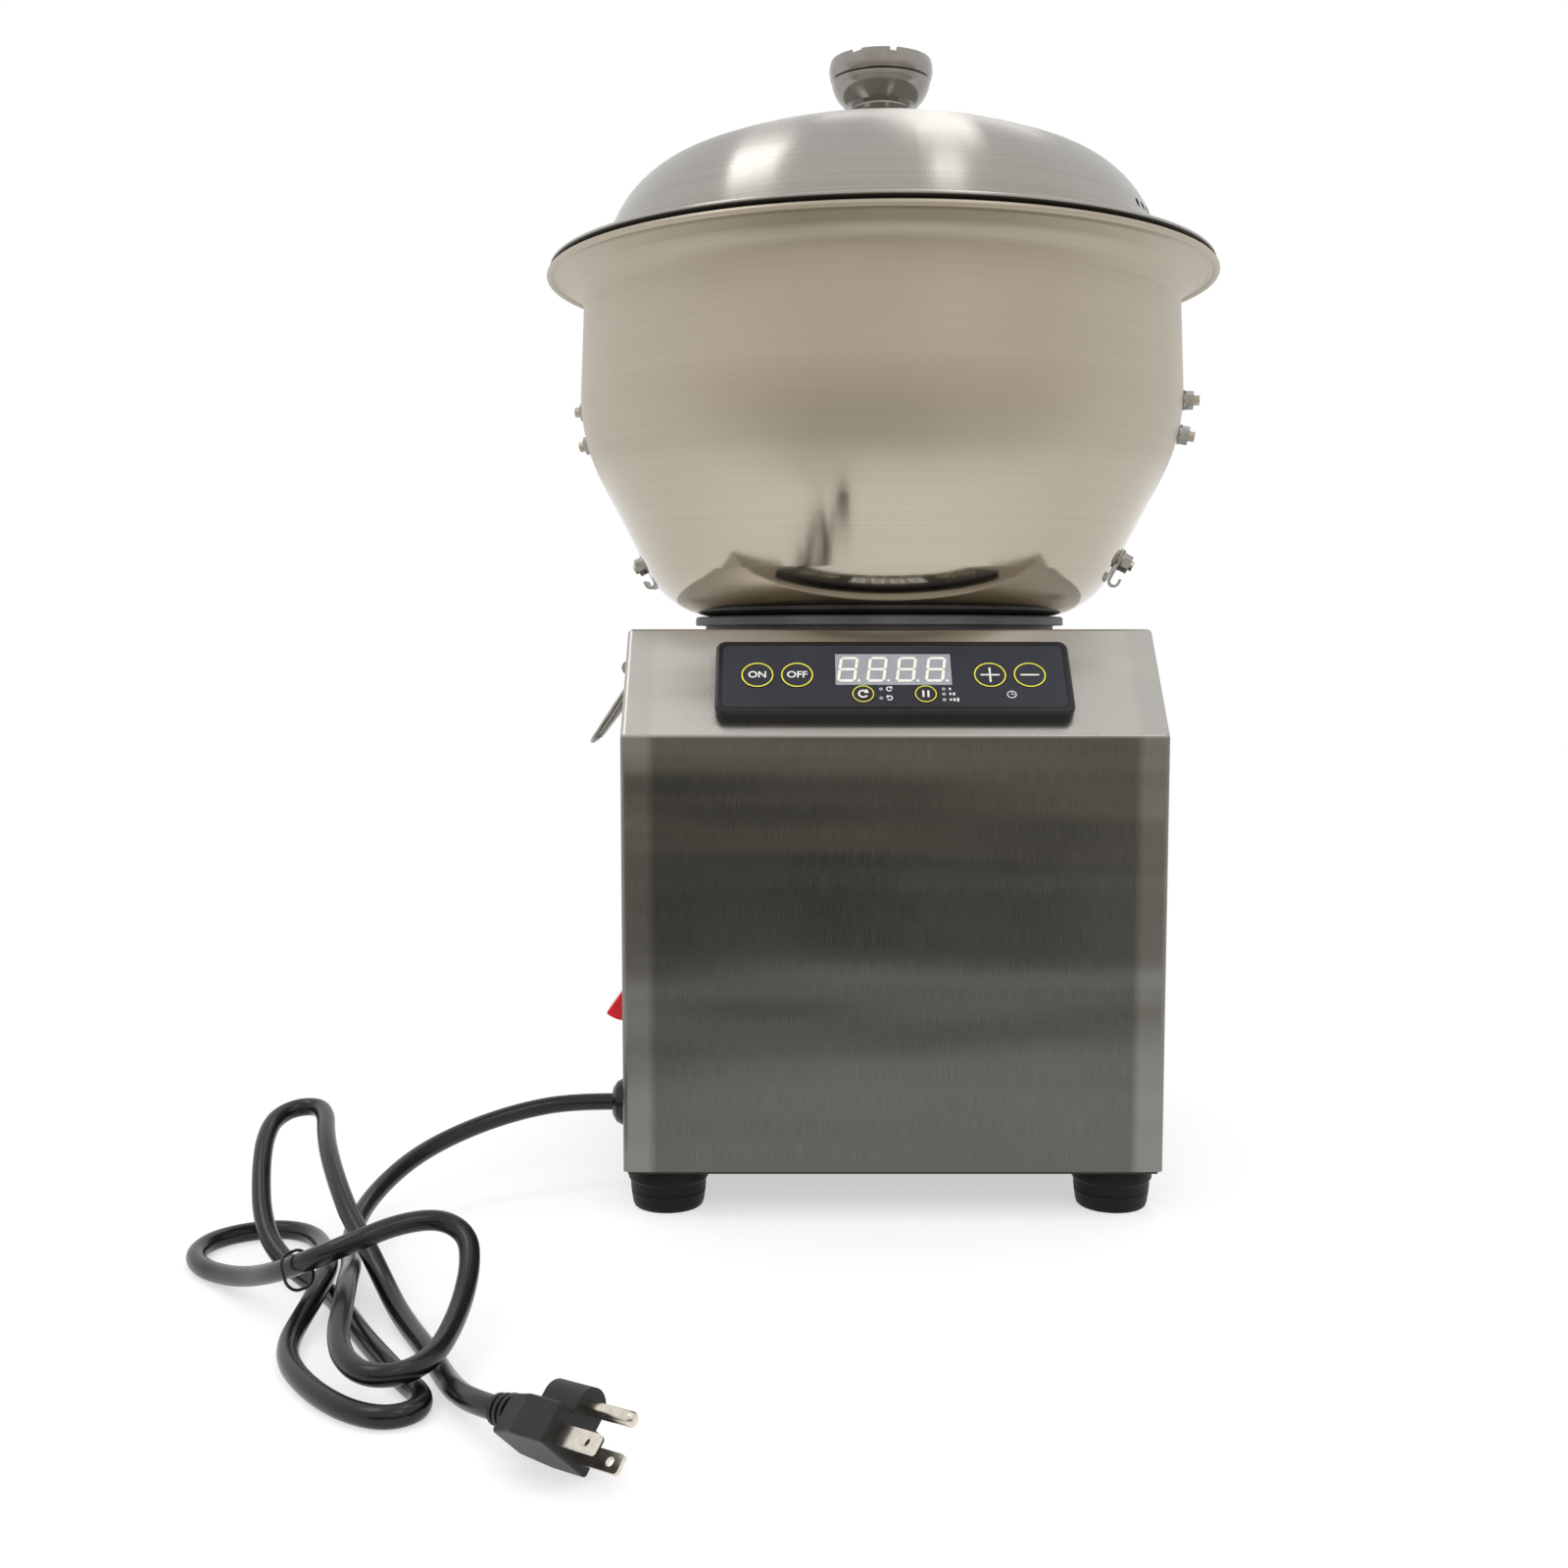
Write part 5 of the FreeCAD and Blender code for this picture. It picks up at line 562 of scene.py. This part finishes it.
# Bowl: deep stainless bowl, spun on a lathe and satin finished, so its grain runs round it.
# The satin keeps broad soft reflections with a warm grey cast, and hands leave faint smears.
# The buffing wheel went over the foot of the wall, which is nearly a mirror.
BUFFED_TOP = 0.348
BUFFED_FADE = 0.028        # height over which the buffing runs out
RING_WIDTH = 0.0006        # drawn coarser than the real 0.1 mm so that it shows
RING_DRIFT = (6.0, 6.0, 6.0)   # per metre, so that no ring runs unchanged all the way round
spun_stainless, tree = finish("spun_stainless")
place = add(tree, "TexCoord")
flat = add(tree, "VectorMath", {1: (1.0, 1.0, 0.0)}, {0: place.outputs["Object"]}, operation="MULTIPLY")
radius = add(tree, "VectorMath", links={0: flat.outputs["Vector"]}, operation="LENGTH")
split = add(tree, "SeparateXYZ", links={"Vector": place.outputs["Object"]})
path = add(tree, "Math", links={0: radius.outputs["Value"], 1: split.outputs["Z"]}, operation="ADD")
ring = add(tree, "CombineXYZ", links={"X": path.outputs["Value"]})
fine_grain_and_painted_light = add(tree, "VectorMath", {1: (1 / RING_WIDTH, 0.0, 0.0)}, {0: ring.outputs["Vector"]},
           operation="MULTIPLY")
slow = add(tree, "VectorMath", {1: RING_DRIFT}, {0: place.outputs["Object"]}, operation="MULTIPLY")
both = add(tree, "VectorMath", links={0: fine_grain_and_painted_light.outputs["Vector"], 1: slow.outputs["Vector"]},
           operation="ADD")
grain = add(tree, "TexNoise", {"Scale": 1.0, "Detail": 2.0}, {"Vector": both.outputs["Vector"]})
smear = add(tree, "TexNoise", {"Scale": 1 / 0.06, "Detail": 5.0, "Roughness": 0.6},
            {"Vector": place.outputs["Object"]})
shade = add(tree, "ValToRGB", links={"Fac": grain.outputs["Fac"]})
ramp(shade, (0.3, "#b3aa9a"), (0.7, "#b9b0a0"))
satin = add(tree, "MapRange", {"From Min": 0.3, "From Max": 0.75, "To Min": 0.42, "To Max": 0.48},
            {"Value": smear.outputs["Fac"]})
foot = add(tree, "MapRange", {"From Min": BUFFED_TOP - BUFFED_FADE, "From Max": BUFFED_TOP,
                              "To Min": 0.24, "To Max": 1.0}, {"Value": split.outputs["Z"]})
dull = add(tree, "Math", links={0: satin.outputs["Result"], 1: foot.outputs["Result"]},
           operation="MULTIPLY")
bump = add(tree, "Bump", {"Strength": 0.02, "Distance": 0.0002}, {"Height": grain.outputs["Fac"]})
around = add(tree, "Tangent", direction_type="RADIAL", axis="Z")
skin = add(tree, "BsdfPrincipled", {"Metallic": 1.0, "Anisotropic": 0.5, "Anisotropic Rotation": 0.25},
           {"Base Color": shade.outputs["Color"], "Roughness": dull.outputs["Value"],
            "Normal": bump.outputs["Normal"], "Tangent": around.outputs["Tangent"]})
add(tree, "OutputMaterial", links={"Surface": skin.outputs["BSDF"]})
dress(spun_stainless, "bowl_shell", "bowl_hub", "dough_stops")


def rolled_edge(name, ring_radius, height, wire_radius, material, body):
    """A sheet's edge rolled into a bead, as one smooth ring."""
    mesh = bpy.data.meshes.new(name)
    form = bmesh.new()
    around_count, wire_count = 288, 20
    rows = []
    for j in range(around_count):
        turn = 2 * math.pi * j / around_count
        row = []
        for k in range(wire_count):
            roll = 2 * math.pi * k / wire_count
            out = ring_radius + wire_radius * math.cos(roll)
            row.append(form.verts.new((out * math.cos(turn), out * math.sin(turn),
                                       height + wire_radius * math.sin(roll))))
        rows.append(row)
    for j in range(around_count):
        for k in range(wire_count):
            after, up = (j + 1) % around_count, (k + 1) % wire_count
            face = form.faces.new((rows[j][k], rows[after][k], rows[after][up], rows[j][up]))
            face.smooth = True
    form.to_mesh(mesh)
    form.free()
    mesh.materials.append(material)
    edge = bpy.data.objects.new(name, mesh)
    scene.collection.objects.link(edge)
    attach(edge, body)
    return edge


BEAD_RING, BEAD_HEIGHT, BEAD_WIRE = 0.1653, 0.4361, 0.00164
bowl_bead = rolled_edge("bowl_bead", BEAD_RING, BEAD_HEIGHT, BEAD_WIRE, spun_stainless, "bowl")

# Kneading shaft and arm: stainless steel, the shaft turned with driving dogs at its foot.
# A cap nut holds the arm on it, and all three are satin finished like the bowl.
dress(spun_stainless, "agitator_shaft", "kneading_arm", "arm_cap_nut")

# Lid: thin stainless dome, spun and buffed, with a flat brim and a hemmed edge.
# Buffing leaves a brighter skin than the bowl's, still with faint rings from the lathe that draw lamps
# out into streaks towards the crown. The underside is left as spun and dull, and is painted darker as
# painted shade under the brim.
LID_RING_DRIFT = (8.0, 8.0, 8.0)
buffed_stainless, tree = finish("buffed_stainless")
place = add(tree, "TexCoord")
flat = add(tree, "VectorMath", {1: (1.0, 1.0, 0.0)}, {0: place.outputs["Object"]}, operation="MULTIPLY")
radius = add(tree, "VectorMath", links={0: flat.outputs["Vector"]}, operation="LENGTH")
split = add(tree, "SeparateXYZ", links={"Vector": place.outputs["Object"]})
path = add(tree, "Math", links={0: radius.outputs["Value"], 1: split.outputs["Z"]}, operation="SUBTRACT")
ring = add(tree, "CombineXYZ", links={"X": path.outputs["Value"]})
fine_grain_and_painted_light = add(tree, "VectorMath", {1: (1 / RING_WIDTH, 0.0, 0.0)}, {0: ring.outputs["Vector"]},
           operation="MULTIPLY")
slow = add(tree, "VectorMath", {1: LID_RING_DRIFT}, {0: place.outputs["Object"]}, operation="MULTIPLY")
both = add(tree, "VectorMath", links={0: fine_grain_and_painted_light.outputs["Vector"], 1: slow.outputs["Vector"]},
           operation="ADD")
grain = add(tree, "TexNoise", {"Scale": 1.0, "Detail": 2.0}, {"Vector": both.outputs["Vector"]})
smear = add(tree, "TexNoise", {"Scale": 1 / 0.05, "Detail": 6.0, "Roughness": 0.65},
            {"Vector": place.outputs["Object"]})
shade = add(tree, "ValToRGB", links={"Fac": grain.outputs["Fac"]})
ramp(shade, (0.3, "#a09d97"), (0.7, "#aca9a4"))
dull = add(tree, "MapRange", {"From Min": 0.3, "From Max": 0.75, "To Min": 0.25, "To Max": 0.32},
           {"Value": smear.outputs["Fac"]})
bump = add(tree, "Bump", {"Strength": 0.02, "Distance": 0.0002}, {"Height": grain.outputs["Fac"]})
facing = add(tree, "NewGeometry")
down = add(tree, "SeparateXYZ", links={"Vector": facing.outputs["Normal"]})
underside_painted_shade_and_dull = add(tree, "MapRange", {"From Min": -0.2, "From Max": -0.6, "To Min": 0.0, "To Max": 1.0},
            {"Value": down.outputs["Z"]})
# Downward faces, the brim's underside and the hem's lower half, are painted dark grey: painted shade in
# the gap over the bowl's rim. Their higher roughness is the dull spun finish.
tone = add(tree, "MixRGB", {"Color2": linear("#55524d")},
           {"Fac": underside_painted_shade_and_dull.outputs["Result"], "Color1": shade.outputs["Color"]})
matt = add(tree, "MapRange", {"To Min": 0.0, "To Max": 0.3}, {"Value": underside_painted_shade_and_dull.outputs["Result"]})
worn = add(tree, "Math", links={0: dull.outputs["Result"], 1: matt.outputs["Result"]}, operation="ADD")
around = add(tree, "Tangent", direction_type="RADIAL", axis="Z")
skin = add(tree, "BsdfPrincipled", {"Metallic": 1.0, "Anisotropic": 0.95, "Anisotropic Rotation": 0.25},
           {"Base Color": tone.outputs["Color"], "Roughness": worn.outputs["Value"],
            "Normal": bump.outputs["Normal"], "Tangent": around.outputs["Tangent"]})
add(tree, "OutputMaterial", links={"Surface": skin.outputs["BSDF"]})
dress(buffed_stainless, "lid_shell")
HEM_RING, HEM_HEIGHT, HEM_WIRE = 0.1642, 0.4406, 0.00104
lid_hem = rolled_edge("lid_hem", HEM_RING, HEM_HEIGHT, HEM_WIRE, buffed_stainless, "lid")

# Knob: a pressed stainless cup on a collar, closed by a cap, all mirror polished.
# One zinc-plated screw holds it up through the lid.
# Mirror polish shows the room sharply, with a few fine wipe marks.
mirror_stainless, tree = finish("mirror_stainless")
place = add(tree, "TexCoord")
wipe = add(tree, "TexNoise", {"Scale": 1 / 0.008, "Detail": 6.0}, {"Vector": place.outputs["Object"]})
shade = add(tree, "ValToRGB", links={"Fac": wipe.outputs["Fac"]})
ramp(shade, (0.3, "#8b8883"), (0.7, "#999691"))
dull = add(tree, "MapRange", {"To Min": 0.03, "To Max": 0.10}, {"Value": wipe.outputs["Fac"]})
skin = add(tree, "BsdfPrincipled", {"Metallic": 1.0},
           {"Base Color": shade.outputs["Color"], "Roughness": dull.outputs["Result"]})
add(tree, "OutputMaterial", links={"Surface": skin.outputs["BSDF"]})
dress(mirror_stainless, "lid_knob", "knob_cap")
dress(zinc_plate, "knob_screw")

# Floor: a wide sheet of pale paper, matt and lightly fibrous, laid flat under the part.
# It shows as white around the part and as pale grey well in front of it, and keeps a soft shadow.
FLOOR_REACH = 3
GREY_Y, WHITE_Y = -0.64, -0.40
SHADOW_CENTRE = (-0.06, -0.1, 0.0)
SHADOW_NEAR, SHADOW_FAR = 0.30, 0.62
floor_mesh = bpy.data.meshes.new("floor")
floor_mesh.from_pydata([(-FLOOR_REACH, -FLOOR_REACH, 0), (FLOOR_REACH, -FLOOR_REACH, 0),
                        (FLOOR_REACH, FLOOR_REACH, 0), (-FLOOR_REACH, FLOOR_REACH, 0)],
                       [], [(0, 1, 2, 3)])
floor = bpy.data.objects.new("floor", floor_mesh)
scene.collection.objects.link(floor)
paper, tree = finish("pale_paper")
place = add(tree, "TexCoord")
fibre = add(tree, "TexNoise", {"Scale": 1 / 0.002, "Detail": 3.0}, {"Vector": place.outputs["Object"]})
shade = add(tree, "ValToRGB", links={"Fac": fibre.outputs["Fac"]})
ramp(shade, (0.3, "#c6c2ba"), (0.7, "#ccc8c0"))
rays = add(tree, "LightPath")
mirrored = add(tree, "Math", links={0: rays.outputs["Is Glossy Ray"],
                                    1: rays.outputs["Is Transmission Ray"]}, operation="MAXIMUM")
seen = add(tree, "Math", links={0: rays.outputs["Is Camera Ray"], 1: mirrored.outputs["Value"]},
           operation="MAXIMUM")
split = add(tree, "SeparateXYZ", links={"Vector": place.outputs["Object"]})
near = add(tree, "MapRange", {"From Min": GREY_Y, "From Max": WHITE_Y}, {"Value": split.outputs["Y"]})
bright = add(tree, "ValToRGB", links={"Fac": near.outputs["Result"]})
ramp(bright, (0.0, "#cbc7bf"), (1.0, "#ffffff"))
sheet = add(tree, "MixRGB", links={"Fac": seen.outputs["Value"], "Color1": shade.outputs["Color"],
                                   "Color2": bright.outputs["Color"]})
matt = add(tree, "BsdfDiffuse", links={"Color": sheet.outputs["Color"]})
white = add(tree, "Emission", {"Strength": 1.0}, {"Color": bright.outputs["Color"]})
away = add(tree, "VectorMath", {1: SHADOW_CENTRE}, {0: place.outputs["Object"]}, operation="DISTANCE")
fade = add(tree, "MapRange", {"From Min": SHADOW_NEAR, "From Max": SHADOW_FAR, "To Min": 0.55,
                              "To Max": 1.0}, {"Value": away.outputs["Value"]})
blend = add(tree, "Math", links={0: fade.outputs["Result"], 1: seen.outputs["Value"]},
            operation="MULTIPLY")
ground = add(tree, "MixShader", links={0: blend.outputs["Value"], 1: matt.outputs["BSDF"],
                                       2: white.outputs["Emission"]})
add(tree, "OutputMaterial", links={"Surface": ground.outputs["Shader"]})
floor_mesh.materials.append(paper)

# Grey card: a matt board that stands in front of the part, below the lens and out of its sight.
# The upright steel mirrors it, which gives the front wall its dark middle.
CARD_LEFT, CARD_RIGHT, CARD_Y, CARD_TOP = -0.5, 0.2, -0.70, 0.148
card_mesh = bpy.data.meshes.new("grey_card")
card_mesh.from_pydata([(CARD_LEFT, CARD_Y, 0), (CARD_RIGHT, CARD_Y, 0),
                       (CARD_RIGHT, CARD_Y, CARD_TOP), (CARD_LEFT, CARD_Y, CARD_TOP)],
                      [], [(0, 1, 2, 3)])
card = bpy.data.objects.new("grey_card", card_mesh)
scene.collection.objects.link(card)
grey_board, tree = finish("grey_board")
place = add(tree, "TexCoord")
fibre = add(tree, "TexNoise", {"Scale": 1 / 0.002, "Detail": 3.0}, {"Vector": place.outputs["Object"]})
shade = add(tree, "ValToRGB", links={"Fac": fibre.outputs["Fac"]})
ramp(shade, (0.3, "#7d7a75"), (0.7, "#85827d"))
matt = add(tree, "BsdfDiffuse", links={"Color": shade.outputs["Color"]})
add(tree, "OutputMaterial", links={"Surface": matt.outputs["BSDF"]})
card_mesh.materials.append(grey_board)
card.visible_camera = False
card.visible_diffuse = False
card.visible_shadow = False

# Room: plain painted walls and ceiling, which light the part evenly from all round.
# They are white, a little warmer and greyer low down behind the lens.
world = bpy.data.worlds.new("studio")
scene.world = world
world.use_nodes = True
tree = world.node_tree
tree.nodes.clear()
way = add(tree, "TexCoord")
split = add(tree, "SeparateXYZ", links={"Vector": way.outputs["Generated"]})
front = add(tree, "MapRange", {"From Min": 0.2, "From Max": -0.5, "To Min": 0.0, "To Max": 1.0},
            {"Value": split.outputs["Y"]}, interpolation_type="SMOOTHSTEP")
level = add(tree, "MapRange", {"From Min": -0.6, "From Max": 1.0}, {"Value": split.outputs["Z"]})
room = add(tree, "ValToRGB", links={"Fac": level.outputs["Result"]})
ramp(room, (0.1, "#f2f0ec"), (0.3, "#e2dfda"), (0.37, "#f4e6da"), (0.45, "#fbf7f0"), (0.9, "#ffffff"))
tint = add(tree, "MixRGB", {"Color1": (1, 1, 1, 1)},
           {"Fac": front.outputs["Result"], "Color2": room.outputs["Color"]})
sky = add(tree, "Background", {"Strength": 1.0}, {"Color": tint.outputs["Color"]})
add(tree, "OutputWorld", links={"Surface": sky.outputs["Background"]})

# Lamps: soft strips under the ceiling, which the lid draws out into streaks, and a softbox behind the
# lens that the steel doesn't mirror.
# Each has the middles of its two ends, its width, its watts and whether the steel mirrors it.
LAMP_AIM = Vector((0, 0, 0.35))
for lamp_name, start, end, wide, power, mirrored in (
        ("left_strip", (-1.35, -0.55, 1.95), (-0.66, 0.25, 1.95), 0.5, 4.9, True),
        ("right_strip", (0.42, 0.0, 1.95), (0.21, 0.85, 1.95), 0.38, 2.8, True),
        ("right_front_strip", (0.74, -1.45, 1.95), (0.57, -0.8, 1.95), 0.38, 2.3, True),
        ("back_strip", (-0.15, 1.5, 1.95), (0.75, 1.5, 1.95), 0.35, 2.2, True),
        ("front_softbox", (0.0, -2.5, 0.7), (0.0, -1.9, 2.1), 1.6, 20.0, False)):
    start, end = Vector(start), Vector(end)
    centre = (start + end) / 2
    light = bpy.data.lights.new(lamp_name, "AREA")
    light.shape = "RECTANGLE"
    light.size, light.size_y = wide, (end - start).length
    light.energy = power
    lamp = bpy.data.objects.new(lamp_name, light)
    scene.collection.objects.link(lamp)
    back = (centre - LAMP_AIM).normalized()
    across = (end - start).cross(back).normalized()
    turn = Matrix((across, back.cross(across), back)).transposed().to_4x4()
    lamp.matrix_world = Matrix.Translation(centre) @ turn
    lamp.visible_glossy = mirrored

# Camera: the photograph's standpoint, a little left of the bowl's axis and below its rim.
# It looks slightly down, and its lens gives the photograph's angle of view.
SENSOR_WIDTH = 36.0
FOCAL_PIXELS, PICTURE_PIXELS = 1755.5, 1600
STANDPOINT = (-0.0485, -0.8883, 0.2576)
LOOK_DOWN = 4.807          # degrees below level
camera_data = bpy.data.cameras.new("camera")
camera_data.sensor_width = SENSOR_WIDTH
camera_data.lens = SENSOR_WIDTH * FOCAL_PIXELS / PICTURE_PIXELS
camera = bpy.data.objects.new("camera", camera_data)
scene.collection.objects.link(camera)
camera.location = STANDPOINT
camera.rotation_euler = (math.radians(90 - LOOK_DOWN), 0, 0)
scene.camera = camera
scene.view_settings.view_transform = "Standard"
